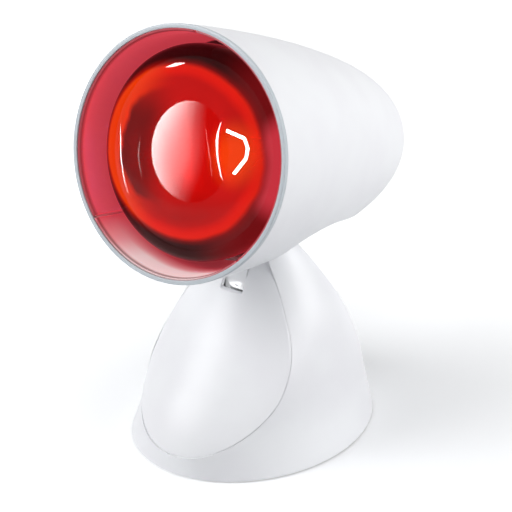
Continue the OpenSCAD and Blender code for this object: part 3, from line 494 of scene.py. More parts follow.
def prism(name, outline, axis, low, high):
    """A solid with the given outline, drawn in the two axes that are left, between low and high
    along axis ("X", "Y" or "Z")."""
    order = {"X": lambda a, b, c: (c, a, b), "Y": lambda a, b, c: (a, c, b),
             "Z": lambda a, b, c: (a, b, c)}[axis]
    count = len(outline)
    points = [order(a, b, c) for c in (low, high) for a, b in outline]
    sides = [(i, (i + 1) % count, (i + 1) % count + count, i + count) for i in range(count)]
    return mesh_piece(name, points, [tuple(range(count)), tuple(range(count, 2 * count)), *sides])


def circle(centre, radius, steps=48):
    return [(centre[0] + radius * math.cos(math.tau * i / steps),
             centre[1] + radius * math.sin(math.tau * i / steps)) for i in range(steps)]


def rectangle(x0, x1, y0, y1):
    return [(x0, y0), (x1, y0), (x1, y1), (x0, y1)]


def lathe(name, profile, steps, start=0, turn=360):
    """Turns a closed profile of (radius, s) round the shade's axis; the angle starts at +X and
    runs towards the underside. A part turn gets flat ends."""
    full = turn >= 360
    rows = steps if full else steps + 1
    count = len(profile)
    points = []
    for k in range(rows):
        angle = math.radians(start + turn * k / steps)
        points += [(r * math.cos(angle), s, -r * math.sin(angle)) for r, s in profile]
    faces = []
    for k in range(steps):
        a, b = k * count, (k + 1) % rows * count
        faces += [(a + i, a + (i + 1) % count, b + (i + 1) % count, b + i)
                  for i in range(count)]
    if not full:
        faces += [tuple(range(count)), tuple(range((rows - 1) * count, rows * count))]
    return mesh_piece(name, points, faces)


def rounded(outline, radius, steps=3):
    """A closed outline with its corners rounded, each by at most a third of its sides."""
    made = []
    count = len(outline)
    for i, corner in enumerate(outline):
        here = Vector(corner)
        before = Vector(outline[i - 1]) - here
        after = Vector(outline[(i + 1) % count]) - here
        reach = min(radius, before.length / 3, after.length / 3)
        p = here + before.normalized() * reach
        q = here + after.normalized() * reach
        for k in range(steps + 1):
            t = k / steps
            made.append(tuple((1 - t) ** 2 * p + 2 * t * (1 - t) * here + t * t * q))
    return made


# ---- Shade ---------------------------------------------------------------------------------
BULLET_M = 1.28
BULLET_N = 2.97
BULLET_STATIONS = 72
BULLET_SIDES = 160


def bullet_r(s, r0, length):
    return r0 * max(0, 1 - (s / length) ** BULLET_M) ** (1 / BULLET_N)


def inner_r(s, gap=0):
    return bullet_r(s, SHADE_R - SHADE_WALL, SHADE_LEN - SHADE_WALL) - gap


def bullet_tree():
    """Geometry nodes that turn a bullet: stations crowd towards its blunt end, and each ring's
    radius is r0 * (1 - (s / length) ^ m) ^ (1 / n)."""
    tree = bpy.data.node_groups.new("bullet", "GeometryNodeTree")
    for name, kind in (("Mouth radius", "NodeSocketFloat"), ("Length", "NodeSocketFloat"),
                       ("Front", "NodeSocketFloat"), ("Stations", "NodeSocketInt"),
                       ("Sides", "NodeSocketInt"), ("Material", "NodeSocketMaterial")):
        tree.interface.new_socket(name, in_out="INPUT", socket_type=kind)
    tree.interface.new_socket("Geometry", in_out="OUTPUT", socket_type="NodeSocketGeometry")
    given = add(tree, "NodeGroupInput").outputs
    line = add(tree, "GeometryNodeCurvePrimitiveLine", {"End": (0, 1, 0)})
    stations = add(tree, "GeometryNodeResampleCurve", {"Curve": line.outputs[0],
                                                       "Count": given["Stations"]})
    factor = add(tree, "GeometryNodeSplineParameter").outputs["Factor"]
    left = add(tree, "ShaderNodeMath", {0: 1.0, 1: factor}, operation="SUBTRACT")
    cubed = add(tree, "ShaderNodeMath", {0: left.outputs[0], 1: 3.0}, operation="POWER")
    share = add(tree, "ShaderNodeMapRange", {"Value": cubed.outputs[0], "To Min": given["Length"],
                                             "To Max": given["Front"]})
    at_s = add(tree, "ShaderNodeCombineXYZ", {"Y": share.outputs[0]})
    axis = add(tree, "GeometryNodeSetPosition", {"Geometry": stations.outputs[0],
                                                 "Position": at_s.outputs[0]})
    place_now = add(tree, "GeometryNodeInputPosition")
    parts = add(tree, "ShaderNodeSeparateXYZ", {"Vector": place_now.outputs[0]})
    along = add(tree, "ShaderNodeMath", {0: parts.outputs["Y"], 1: given["Length"]},
                operation="DIVIDE", use_clamp=True)
    power = add(tree, "ShaderNodeMath", {0: along.outputs[0], 1: BULLET_M}, operation="POWER")
    rest = add(tree, "ShaderNodeMath", {0: 1.0, 1: power.outputs[0]}, operation="SUBTRACT",
               use_clamp=True)
    root = add(tree, "ShaderNodeMath", {0: rest.outputs[0], 1: 1 / BULLET_N}, operation="POWER")
    ring_r = add(tree, "ShaderNodeMath", {0: root.outputs[0], 1: given["Mouth radius"]},
                 operation="MULTIPLY")
    ring = add(tree, "GeometryNodeCurvePrimitiveCircle", {"Resolution": given["Sides"],
                                                          "Radius": 1.0})
    skin = add(tree, "GeometryNodeCurveToMesh", {
        "Curve": axis.outputs[0], "Profile Curve": ring.outputs[0],
        "Scale": ring_r.outputs[0], "Fill Caps": True})
    merged = add(tree, "GeometryNodeMergeByDistance", {"Geometry": skin.outputs[0],
                                                       "Distance": 0.01})
    real = add(tree, "GeometryNodeRealizeInstances", {"Geometry": merged.outputs[0]})
    finish = add(tree, "GeometryNodeSetMaterial", {"Geometry": real.outputs[0],
                                                   "Material": given["Material"]})
    add(tree, "NodeGroupOutput", {"Geometry": finish.outputs[0]})
    return tree


def grown(name, tree, inputs):
    """A piece made by geometry nodes, as a plain mesh."""
    made = new_object(name, bpy.data.meshes.new(name))
    step = made.modifiers.new("grown", "NODES")
    step.node_group = tree
    for socket in tree.interface.items_tree:
        if socket.in_out == "INPUT" and socket.name in inputs:
            step[socket.identifier] = inputs[socket.name]
    return baked(made)


CUT_FRONT = 44
CUT_TOP_S = PIVOT_S + 2.4
AXIS_Z = -PIVOT_DROP
CUT_TOP = AXIS_Z + 27.8
CUT_RISE = 11.8
CUT_SLOPE = 0.065
VENT_COUNT = 4
VENT_W = 1.8
VENT_PITCH = 6.5
VENT_FRONT = 113
VENT_LEN = 36
BRACKET_S = 120.2
BRACKET_T = 2
BOSS_PLACES = [(0, 31), (-29.5, -9.6), (29.5, -9.6)]
BOSS_R = 3.6
BOSS_DEPTH = 9
HOLE_R = SCREW_R + 0.05
COVER_T = 2
COVER_LEAD = 1.6
LUG_PLACES = [(-36, 62), (-25.5, 104), (36, 62), (25.5, 104)]
LUG_HALF = 3.5
LUG_H = 8
# Lugs run past the wall, which trims them
LUG_REACH = 30
# Screw holes end this far under the top of their boss or lug
HOLE_SHORT = 1.5


def cut_z(s):
    """Height of the underside opening's edge at s."""
    if s >= CUT_TOP_S:
        return CUT_TOP - CUT_SLOPE * (s - CUT_TOP_S)
    part = (CUT_TOP_S - s) / (CUT_TOP_S - CUT_FRONT)
    return CUT_TOP - CUT_RISE + CUT_RISE * math.sqrt(max(0, 1 - part * part))


def lug_z(s):
    highest = max(cut_z(s - LUG_HALF + COVER_LEAD), cut_z(s), cut_z(s + LUG_HALF + COVER_LEAD))
    return COVER_T + 2.1 + highest


def underside_outline():
    arc = [(CUT_TOP_S - (CUT_TOP_S - CUT_FRONT) * math.cos(math.radians(a)),
            CUT_TOP - CUT_RISE + CUT_RISE * math.sin(math.radians(a)))
           for a in range(0, 91, 5)]
    far = SHADE_LEN + 20
    return ([(CUT_FRONT + 6, AXIS_Z - 12)] + arc
            + [(far, CUT_TOP - CUT_SLOPE * (far - CUT_TOP_S)), (far, -SHADE_R - 10),
               (CUT_FRONT + 6, -SHADE_R - 10)])


def vent_outline(x):
    """A slot with round ends, drawn in (x, s)."""
    half = VENT_W / 2
    ends = [(x, VENT_FRONT + half, 180), (x, VENT_FRONT + VENT_LEN - half, 0)]
    return [(cx + half * math.cos(math.radians(start + 18 * k)),
             cs + half * math.sin(math.radians(start + 18 * k)))
            for cx, cs, start in ends for k in range(11)]


def rod(name, centre, radius, s0, s1):
    """A rod along s at the place (x, z)."""
    return prism(name, circle(centre, radius), "Y", s0, s1)


def shade_cowl(tree, plastic):
    """The bullet-shaped housing: its wall, bosses and lugs, and the openings cut in it."""
    sizes = {"Stations": BULLET_STATIONS, "Sides": BULLET_SIDES, "Material": plastic}
    cowl = grown("shade_cowl", tree, {**sizes, "Mouth radius": SHADE_R, "Length": SHADE_LEN,
                                      "Front": RIM_DEPTH})
    hollow = grown("hollow", tree, {**sizes, "Mouth radius": SHADE_R - SHADE_WALL,
                                    "Length": SHADE_LEN - SHADE_WALL, "Front": 0.0})
    core = grown("core", tree, {**sizes, "Mouth radius": SHADE_R - 1, "Length": SHADE_LEN - 1,
                                "Front": 0.0})
    change(cowl, hollow)
    baked(cowl)
    studs = []
    for i, centre in enumerate(BOSS_PLACES):
        studs.append(rod(f"boss_{i}", centre, BOSS_R, BRACKET_S + BRACKET_T + 0.1, SHADE_LEN))
    for i, (x, s) in enumerate(LUG_PLACES):
        side = math.copysign(1, x)
        ends = sorted((x - side * LUG_HALF, x - side * LUG_HALF + side * LUG_REACH))
        studs.append(prism(f"lug_{i}", rectangle(*ends, s - LUG_HALF, s + LUG_HALF), "Z",
                           lug_z(s), lug_z(s) + LUG_H))
    for stud in studs:
        change(cowl, trimmed(stud, core), "UNION")
    baked(cowl)
    bpy.data.objects.remove(core)
    change(cowl, prism("underside", underside_outline(), "X", -90, 90))
    for k in range(VENT_COUNT):
        x = (k - (VENT_COUNT - 1) / 2) * VENT_PITCH
        change(cowl, prism(f"vent_{k}", vent_outline(x), "Z", 0, SHADE_R))
    hole_end = BRACKET_S + BRACKET_T + BOSS_DEPTH
    for i, centre in enumerate(BOSS_PLACES):
        change(cowl, rod(f"hole_{i}", centre, HOLE_R, BRACKET_S, hole_end))
    for i, (x, s) in enumerate(LUG_PLACES):
        change(cowl, prism(f"lug_hole_{i}", circle((x, s), HOLE_R), "Z", lug_z(s) - 5,
                           lug_z(s) + LUG_H - HOLE_SHORT))
    place(cowl, IN_SHADE, "shade", "shade_plastic", plastic, "shade_shell")


def mouth_ring(plastic):
    """The flat ring round the mouth, with soft edges and its tenon in the shade's wall."""
    tenon_in = inner_r(RIM_DEPTH + TENON_DEPTH) + 0.6
    tenon_out = tenon_in + 0.7
    back = RIM_DEPTH - 0.05
    outline = [(SHADE_R - RIM_W, 0), (SHADE_R, 0), (bullet_r(back, SHADE_R, SHADE_LEN), back),
               (tenon_out, back), (tenon_out, RIM_DEPTH + TENON_DEPTH),
               (tenon_in, RIM_DEPTH + TENON_DEPTH), (tenon_in, back), (SHADE_R - RIM_W, back)]
    ring = lathe("mouth_ring", rounded(outline, 0.45), 180)
    place(ring, IN_SHADE, "shade", "rim_plastic", plastic, "rim_ring")


def liner(name, start, end, step, material):
    """One segment of the liner, with its front edge rolled and its ends rounded."""
    front = 0.6
    lip = 6
    lip_r = SHADE_R - RIM_W - 0.05
    stations = [front + lip + (LINER_END - front - lip) * i / 12 for i in range(13)]
    outside = [(lip_r, front), (lip_r, front + 0.5), (lip_r - 0.3, front + 1.1)]
    outside += [(inner_r(s, SEAM + step), s) for s in stations]
    inside = [(inner_r(s, SEAM + step + LINER_T), s) for s in reversed(stations)]
    inside += [(lip_r - LINER_T - 0.3, front + 0.9), (lip_r - LINER_T, front + 0.2)]
    turns = max(12, round((end - start) / 2.5))
    sheet = lathe(f"{name}_sheet", outside + inside, turns, start, end - start)
    bevel = sheet.modifiers.new("soft edges", "BEVEL")
    bevel.width = 0.25
    bevel.segments = 2
    bevel.limit_method = "ANGLE"
    bevel.angle_limit = math.radians(40)
    place(sheet, IN_SHADE, "shade", "liner_sheet", material, name)


# ---- Bulb ----------------------------------------------------------------------------------
BULB_WIDE_S = BULB_APEX + BULB_DOME
NECK_S = 105
STEM_R = 11.2
# The mirror coat starts this far behind the widest ring and ends before the neck
COAT_LEAD = 3
COAT_END = 104


def bell_r(share):
    """The bell's radius at a share of its length."""
    return BULB_NECK_R + (BULB_R - BULB_NECK_R) * (1 + math.cos(math.pi * share)) / 2


def bulb_outline(inset):
    """The envelope's outline from its apex to its neck, as (radius, s)."""
    power = 2 / BULB_FULL
    turns = [math.pi / 2 * i / 40 for i in range(40)]
    dome = [((BULB_R - inset) * math.sin(a) ** power,
             BULB_WIDE_S - (BULB_DOME - inset) * math.cos(a) ** power) for a in turns]
    dome.append((BULB_R - inset, BULB_WIDE_S))
    bell = [(bell_r(u / 36) - inset, BULB_WIDE_S + BULB_BELL * u / 36) for u in range(1, 37)]
    neck = [(BULB_NECK_R - inset, NECK_S), (STEM_R - inset, 111.5), (STEM_R - inset, 117)]
    return dome + bell + neck


def bulb_glass(glass, coat):
    """Outer and inner wall of the envelope; the bell's inner wall carries the mirror coat."""
    profile = bulb_outline(0) + list(reversed(bulb_outline(GLASS_T)))
    piece = lathe("bulb_glass", profile, 160)
    place(piece, IN_SHADE, "bulb", "red_glass", glass, "bulb_envelope")
    piece.data.materials.append(coat)
    to_shade = (TO_METRES @ IN_SHADE).inverted()
    for face in piece.data.polygons:
        centre = to_shade @ face.center
        middle_r = bell_r(min(1, max(0, (centre.y - BULB_WIDE_S) / BULB_BELL))) - GLASS_T / 2
        inner = math.hypot(centre.x, centre.z) < middle_r
        if inner and BULB_WIDE_S + COAT_LEAD < centre.y < COAT_END:
            face.material_index = 1


def filament(metal):
    """The glowing coil: a fine helix wound along straight spans between its supports."""
    hooks = [Vector((x, FILAMENT_S, z)) for x, z in
             [(-4, 7.6), (5.9, 6.3), (8.4, 2.7), (8.3, -2.3), (3.2, -10.5)]]
    pitch = 0.85
    coil_r = 0.6
    points = []
    for first, last in zip(hooks, hooks[1:]):
        along = (last - first).normalized()
        out = Vector((0, 1, 0))
        side = along.cross(out)
        steps = round((last - first).length / pitch) * 10
        for i in range(steps):
            wind = math.tau * i / 10
            middle = first.lerp(last, i / steps)
            points.append(middle + coil_r * (math.cos(wind) * out + math.sin(wind) * side))
    data = bpy.data.curves.new("filament_coil", "CURVE")
    data.dimensions = "3D"
    data.bevel_depth = 0.17
    data.bevel_resolution = 1
    data.use_fill_caps = True
    spline = data.splines.new("POLY")
    spline.points.add(len(points) - 1)
    for point, where in zip(spline.points, points):
        point.co = (*where, 1)
    curve = new_object("filament_path", data)
    bpy.context.view_layer.update()
    mesh = bpy.data.meshes.new_from_object(
        curve.evaluated_get(bpy.context.evaluated_depsgraph_get()))
    bpy.data.objects.remove(curve)
    coil = new_object("filament_coil", mesh)
    place(coil, IN_SHADE, "bulb", "filament_metal", metal, "bulb_filament")


# ---- Foot ----------------------------------------------------------------------------------
LEVEL_STEP = 20
HALF_W_AT = [53.5, 47.5, 44.2, 38.3, 27.2, 15, 3]
WIDEST_AT = [0, 8, 12, 12, 10, 4, 0]
REAR_AT = [65.8, 60, 51.5, 40, 25.6, 10.6, 2]
QUADRANT_AT = [64.5, 71, 71, 47, 27.5, 14, 5]
PANEL_BEND_AT = [46, 46, 46.5, 46.5, 38, 28, 20]
PANEL_LOW = PANEL_MID - PANEL_DROP


def at(values, z):
    """Smooth curve through values that stand LEVEL_STEP apart."""
    last = len(values) - 1
    i = min(max(math.floor(z / LEVEL_STEP), 0), last - 1)
    t = z / LEVEL_STEP - i
    p1, p2 = values[i], values[i + 1]
    p0 = values[i - 1] if i > 0 else 2 * p1 - p2
    p3 = values[i + 2] if i < last - 1 else 2 * p2 - p1
    return (2 * p1 + (p2 - p0) * t + (2 * p0 - 5 * p1 + 4 * p2 - p3) * t * t
            + (3 * p1 - p0 - 3 * p2 + p3) * t ** 3) / 2


def panel_y(x, z):
    """Front of the panel."""
    bend = at(PANEL_BEND_AT, z)
    return (-FOOT_FRONT * math.exp(-(z / FRONT_BELL) ** 2) + bend
            - math.sqrt(max(1, bend * bend - x * x)))


def panel_w(z):
    """Half width of the panel's egg-shaped outline."""
    if z >= PANEL_MID:
        return PANEL_HALF_W * math.exp(-((z - PANEL_MID) / PANEL_BELL) ** 2)
    return PANEL_HALF_W * math.sqrt(max(0, 1 - ((PANEL_MID - z) / PANEL_DROP) ** 2))


def body_front(x, z, inset):
    w = at(HALF_W_AT, z) - inset
    return at(WIDEST_AT, z) - (at(QUADRANT_AT, z) - inset) * math.sqrt(
        max(0, 1 - (min(x, w) / w) ** 2))


def section(z, inset, quarter=22, land_steps=8):
    """One whole section of the foot's body, drawn in by inset, starting at the front."""
    w = at(HALF_W_AT, z) - inset
    wide = at(WIDEST_AT, z)
    rear = at(REAR_AT, z) - inset - wide
    covered = z >= PANEL_LOW
    edge = max(2, panel_w(z)) + (SEAM if covered else 0)
    corner = min(edge, w * 0.96)
    start = math.asin(corner / w)
    land = PANEL_T + SEAM + inset
    half = []
    for i in range(land_steps + 1):
        x = corner * i / land_steps
        half.append((x, panel_y(x, z) + land if covered else body_front(x, z, inset)))
    for i in range(quarter + 1):
        a = start + (math.pi / 2 - start) * i / quarter
        lead = 0.01 if covered and i == 0 else 0
        half.append((w * math.sin(a), wide - (at(QUADRANT_AT, z) - inset) * math.cos(a) + lead))
    for i in range(1, quarter + 1):
        a = math.pi / 2 * i / quarter
        half.append((w * math.cos(a), wide + rear * math.sin(a)))
    other = [(-x, y) for x, y in half[-2:0:-1]]
    return [(x, y, z) for x, y in half + other]


def foot_levels(bottom, top):
    """Heights of the sections: close together round the panel's lower edge."""
    low = [PANEL_MID - PANEL_DROP * math.cos(math.pi / 2 * i / 30) for i in range(31)]
    high = [PANEL_MID + (FOOT_TOP - PANEL_MID) * i / 36 for i in range(1, 37)]
    skirt = [SKIRT_GAP + (PANEL_LOW - 0.4 - SKIRT_GAP) * i / 5 for i in range(6)]
    between = [z for z in skirt + low + high if bottom + 0.3 < z < top - 0.3]
    return [bottom, *between, top]


def foot_solid(name, inset, bottom, top):
    rows = [section(z, inset) for z in foot_levels(bottom, top)]
    count = len(rows[0])
    points = [p for row in rows for p in row]
    faces = [tuple(range(count)), tuple(range(len(points) - count, len(points)))]
    for k in range(len(rows) - 1):
        a, b = k * count, (k + 1) * count
        for i in range(count):
            j = (i + 1) % count
            faces += [(a + i, a + j, b + j, b + i)]
    return mesh_piece(name, points, faces)


def under_dome(name, radius):
    """Space that the top of the foot keeps to, under the tilting shade."""
    arc = [(PIVOT_Y + radius * math.cos(math.pi * i / 64), PIVOT_Z + radius * math.sin(
        math.pi * i / 64)) for i in range(65)]
    outline = arc + [(-120, PIVOT_Z), (-120, -1), (120, -1), (120, PIVOT_Z)]
    return prism(name, outline, "X", -100, 100)


# Screw bosses, as shares of the foot's half width and of its reach to the front or the rear
FOOT_BOSSES = [(side * across * HALF_W_AT[0], along)
               for across, along in ((0.56, -0.53 * FOOT_FRONT), (0.46, 0.67 * REAR_AT[0]))
               for side in (-1, 1)]
FOOT_BOSS_R = 4.5
PIN_ROOM_R = 9
PLATE_TOP = 3.0
BOSS_TOP = 16
CHEEK_X = 8.0
CHEEK_T = 2.5
GLAND_Z = 13
GLAND_HOLE_R = 6.1


def panel_back_outline(inset):
    """Outline of the opening behind the panel, in (x, z)."""
    heights = [PANEL_LOW + inset + 1 + (FOOT_TOP - PANEL_LOW - inset) * i / 60
               for i in range(61)]
    right = [(max(0.5, panel_w(z) - inset), z) for z in heights]
    return [(0, PANEL_LOW + inset)] + right + [(-x, z) for x, z in reversed(right)]


def foot_shell(plastic):
    """The foot's body: the egg, its dome-shaped top, the seat for the panel and the bosses."""
    shell = foot_solid("foot_shell", 0, SKIRT_GAP, FOOT_TOP)
    change(shell, under_dome("dome", DOME_R), "INTERSECT")
    baked(shell)
    hollow = foot_solid("hollow", FOOT_WALL, -1, FOOT_TOP - FOOT_WALL)
    change(hollow, under_dome("inner_dome", DOME_R - FOOT_WALL), "INTERSECT")
    for side in (-1, 1):
        x = side * (SLOT_HALF_W + 0.75)
        change(hollow, prism(f"slot_wall_{side}", rectangle(x - 0.75, x + 0.75, -60, 60), "Z",
                             PIVOT_Z + 4, PIVOT_Z + 64))
    baked(hollow)
    change(shell, hollow)
    change(shell, prism("panel_opening", panel_back_outline(PANEL_SEAT), "Y", -120, PIVOT_Y))
    baked(shell)
    for i, centre in enumerate(FOOT_BOSSES):
        change(shell, prism(f"boss_{i}", circle(centre, FOOT_BOSS_R), "Z", PLATE_TOP + 0.1,
                            BOSS_TOP + 0.1), "UNION")
    baked(shell)
    slot_z = NOTCH_Z - 8
    cheek = CHEEK_X + CHEEK_T + 1
    change(shell, prism("slot_front", rectangle(-SLOT_HALF_W, SLOT_HALF_W, -100, PIVOT_Y), "Z",
                        slot_z, slot_z + 100))
    change(shell, prism("slot_rear", rectangle(-SLOT_HALF_W, SLOT_HALF_W, PIVOT_Y - 0.01, 100),
                        "Z", PIVOT_Z - 3, 200))
    change(shell, prism("slot_cheeks", rectangle(-cheek, cheek, -100, -1), "Z", slot_z, 200))
    for i, centre in enumerate(FOOT_BOSSES):
        change(shell, prism(f"hole_{i}", circle(centre, HOLE_R), "Z", 0, BOSS_TOP - HOLE_SHORT))
    change(shell, prism("gland_hole", circle((0, GLAND_Z), GLAND_HOLE_R), "Y", 42, 82))
    change(shell, prism("pin_room", circle((PIVOT_Y, PIVOT_Z), PIN_ROOM_R), "X", -cheek - 5,
                        cheek + 5))
    place(shell, IN_LAMP, "base", "foot_plastic", plastic, "rear_shell")


def panel_top(x):
    """Height at which the panel's front meets the dome, at x."""
    low, high = PIVOT_Z, PIVOT_Z + DOME_R
    for _ in range(40):
        mid = (low + high) / 2
        inside = (panel_y(x, mid) - PIVOT_Y) ** 2 + (mid - PIVOT_Z) ** 2 < DOME_R ** 2
        low, high = (mid, high) if inside else (low, mid)
    return low


def panel_outline():
    """The panel as seen from the front, anticlockwise from its lowest point, in (x, z)."""
    corner_z = PIVOT_Z + 10
    for _ in range(30):
        corner_z = panel_top(panel_w(corner_z))
    low = [(PANEL_HALF_W * math.sin(math.pi / 2 * i / 44),
            PANEL_MID - PANEL_DROP * math.cos(math.pi / 2 * i / 44)) for i in range(44)]
    heights = [PANEL_MID + (corner_z - PANEL_MID) * i / 44 for i in range(45)]
    side = [(panel_w(z), z) for z in heights]
    corner_x = side[-1][0]
    top = [(x, panel_top(x)) for x in
           (corner_x + (SLOT_HALF_W - corner_x) * i / 5 for i in range(1, 6))]
    slot_top = top[-1][1]
    slot = [(SLOT_HALF_W, slot_top + (NOTCH_Z - slot_top) * i / 18) for i in range(1, 19)]
    floor = [(SLOT_HALF_W * (1 - i / 6), NOTCH_Z) for i in range(1, 7)]
    right = low + side + top + slot + floor
    return right + [(-x, z) for x, z in reversed(right[1:-1])]


def drawn_in(outline, inset):
    """The outline moved inwards, point by point."""
    made = []
    count = len(outline)
    for i, point in enumerate(outline):
        before = (Vector(point) - Vector(outline[i - 1])).normalized()
        after = (Vector(outline[(i + 1) % count]) - Vector(point)).normalized()
        n1 = Vector((-before.y, before.x))
        n2 = Vector((-after.y, after.x))
        middle = (n1 + n2).normalized()
        made.append(tuple(Vector(point) + middle * inset / max(0.5, middle.dot(n1))))
    return made


def foot_panel(plastic):
    """The egg-shaped front panel: one curved sheet with a soft edge all round and the notch."""
    edge_r = 0.5
    round_steps = 4
    outline = drawn_in(panel_outline(), -0.1)
    count = len(outline)
    rows = []
    for k in range(round_steps + 1):
        a = math.pi / 2 * k / round_steps
        rows.append((edge_r * (1 - math.sin(a)), edge_r * (1 - math.cos(a))))
    rows.append((0, PANEL_T))
    inner = drawn_in(outline, rows[0][0])
    inside = [p for p in panel_grid() if within(p, drawn_in(outline, edge_r + 0.8))]
    flat = [Vector(p) for p in inner + inside]
    verts, _, faces, origin, _, _ = delaunay_2d_cdt(flat, [], [list(range(count))], 1, 1e-5)
    points = [(v.x, panel_y(v.x, v.y), v.y) for v in verts]
    solid = [tuple(f) for f in faces]
    first = {origin[i][0]: i for i in range(len(verts)) if origin[i] and origin[i][0] < count}
    previous = [first[i] for i in range(count)]
    for inset, depth in rows[1:]:
        ring = drawn_in(outline, inset)
        base = len(points)
        points += [(x, panel_y(x, z) + depth, z) for x, z in ring]
        solid += [(previous[i], previous[(i + 1) % count], base + (i + 1) % count, base + i)
                  for i in range(count)]
        previous = [base + i for i in range(count)]
    back = [Vector(p) for p in outline + inside]
    verts, _, faces, origin, _, _ = delaunay_2d_cdt(back, [], [list(range(count))], 1, 1e-5)
    base = len(points)
    points += [(v.x, panel_y(v.x, v.y) + PANEL_T, v.y) for v in verts]
    solid += [tuple(base + i for i in f) for f in faces]
    panel = mesh_piece("foot_panel", points, solid)
    for i, (side, z) in enumerate([(1, 27), (-1, 27), (1, 60), (-1, 60)]):
        x = panel_w(z) - PANEL_SEAT / 2
        y = panel_y(x, z) + PANEL_T
        change(panel, prism(f"peg_{i}", circle((side * x, z), 1.1, 24), "Y", y - 0.8,
                            y + FOOT_WALL + SEAM + 1.7), "UNION")
    place(panel, IN_LAMP, "base", "foot_plastic", plastic, "front_panel")


def panel_grid(pitch=1.8):
    rows = round((FOOT_TOP - PANEL_LOW) / pitch)
    across = round(2 * PANEL_HALF_W / pitch)
    return [(-PANEL_HALF_W + pitch * i + (pitch / 2 if k % 2 else 0), PANEL_LOW + pitch * k)
            for k in range(rows) for i in range(across + 1)]


def within(point, outline):
    """Whether a point lies inside a closed outline."""
    x, z = point
    inside = False
    for i, (x1, z1) in enumerate(outline):
        x0, z0 = outline[i - 1]
        if (z0 > z) != (z1 > z) and x < (x1 - x0) * (z - z0) / (z1 - z0) + x0:
            inside = not inside
    return inside


# ---- Stage: floor, lights and world --------------------------------------------------------
def seen_rays(tree):
    """1 for rays from the camera, in mirrors and through glass: these see a white studio."""
    light = add(tree, "ShaderNodeLightPath")
    mirrored = add(tree, "ShaderNodeMath", {0: light.outputs["Is Camera Ray"],
                                            1: light.outputs["Is Glossy Ray"]},
                   operation="MAXIMUM")
    return add(tree, "ShaderNodeMath", {0: mirrored.outputs[0],
                                        1: light.outputs["Is Transmission Ray"]},
               operation="MAXIMUM").outputs[0]


# Painted light on the floor, weaker near the lamp so that the floor is darker round it: its
# level up to a distance from the lamp's middle and from a distance on, in metres
FLOOR_LIFT = 0.42
FAR_FLOOR_LIFT = 0.8
NEAR_FLOOR = 0.07
FAR_FLOOR = 0.24


def add_floor():
    """Pale paper floor, white to the eye but for the lamp's shadow."""
    mesh = bpy.data.meshes.new("floor")
    half = 4
    mesh.from_pydata([(-half, -half, 0), (half, -half, 0), (half, half, 0), (-half, half, 0)], [],
                     [(0, 1, 2, 3)])
    floor = new_object("floor", mesh)
    made = bpy.data.materials.new("studio_paper")
    tree = empty_tree(made)
    paper = add(tree, "ShaderNodeBsdfDiffuse", {"Color": linear("#e6e8ea")})
    where = add(tree, "ShaderNodeTexCoord")
    away = add(tree, "ShaderNodeVectorMath", {0: where.outputs["Object"]}, operation="LENGTH")
    level = add(tree, "ShaderNodeMapRange", {
        "Value": away.outputs["Value"], "From Min": NEAR_FLOOR, "From Max": FAR_FLOOR,
        "To Min": FLOOR_LIFT, "To Max": FAR_FLOOR_LIFT})
    lift = add(tree, "ShaderNodeEmission", {"Color": (1, 1, 1, 1), "Strength": level.outputs[0]})
    both = add(tree, "ShaderNodeAddShader", {0: paper.outputs[0], 1: lift.outputs[0]})
    mixed = add(tree, "ShaderNodeMixShader", {0: seen_rays(tree), 1: paper.outputs[0],
                                              2: both.outputs[0]})
    add(tree, "ShaderNodeOutputMaterial", {"Surface": mixed.outputs[0]})
    mesh.materials.append(made)
    return floor


def add_world(strength):
    world = bpy.data.worlds.new("studio")
    tree = empty_tree(world)
    soft = add(tree, "ShaderNodeBackground", {"Color": linear("#f4f5fa"), "Strength": strength})
    white = add(tree, "ShaderNodeBackground", {"Color": (1, 1, 1, 1), "Strength": 1.0})
    mixed = add(tree, "ShaderNodeMixShader", {0: seen_rays(tree), 1: soft.outputs[0],
                                              2: white.outputs[0]})
    add(tree, "ShaderNodeOutputWorld", {"Surface": mixed.outputs[0]})
    bpy.context.scene.world = world


# The softboxes stand round this point, both in metres
LIT_POINT = Vector((0, 0, 0.11))
SOFTBOX_DISTANCE = 1.2


def add_softbox(name, azimuth, height, size, watts, lit_group):
    data = bpy.data.lights.new(name, "AREA")
    data.shape = "DISK"
    data.size = size
    data.energy = watts
    light = new_object(name, data)
    direction = towards(math.radians(azimuth), math.radians(height))
    light.location = LIT_POINT + direction * SOFTBOX_DISTANCE
    light.rotation_euler = direction.to_track_quat("Z", "Y").to_euler()
    light.light_linking.receiver_collection = lit_group


def linked_group(name, state, *pieces):
    """A group for light linking that takes in, or leaves out, the given pieces."""
    group = bpy.data.collections.new(name)
    for piece in pieces:
        group.objects.link(piece)
    for member in group.collection_objects:
        member.light_linking.link_state = state
    return group


def add_slot_fill():
    """What the white walls of the foot's slot throw on the hinge drum and on each other."""
    data = bpy.data.lights.new("slot_fill", "POINT")
    data.energy = 0.0012
    data.shadow_soft_size = 0.0015
    light = new_object("slot_fill", data)
    light.location = TO_METRES @ Vector((-3, -12.5, 70))


def window_material(fades):
    """A diffuser in front of a lamp: bright at one edge and fading to the other."""
    made = bpy.data.materials.new("diffuser")
    tree = empty_tree(made)
    where = add(tree, "ShaderNodeUVMap")
    across = add(tree, "ShaderNodeSeparateXYZ", {"Vector": where.outputs[0]})
    level = add(tree, "ShaderNodeValToRGB", {"Fac": across.outputs["X"]}, stops=fades)
    glow = add(tree, "ShaderNodeEmission", {"Color": level.outputs[0],
                                            "Strength": CARD_STRENGTH})
    add(tree, "ShaderNodeOutputMaterial", {"Surface": glow.outputs[0]})
    return made


CARD_DISTANCE = 0.5
CARD_STRENGTH = 200


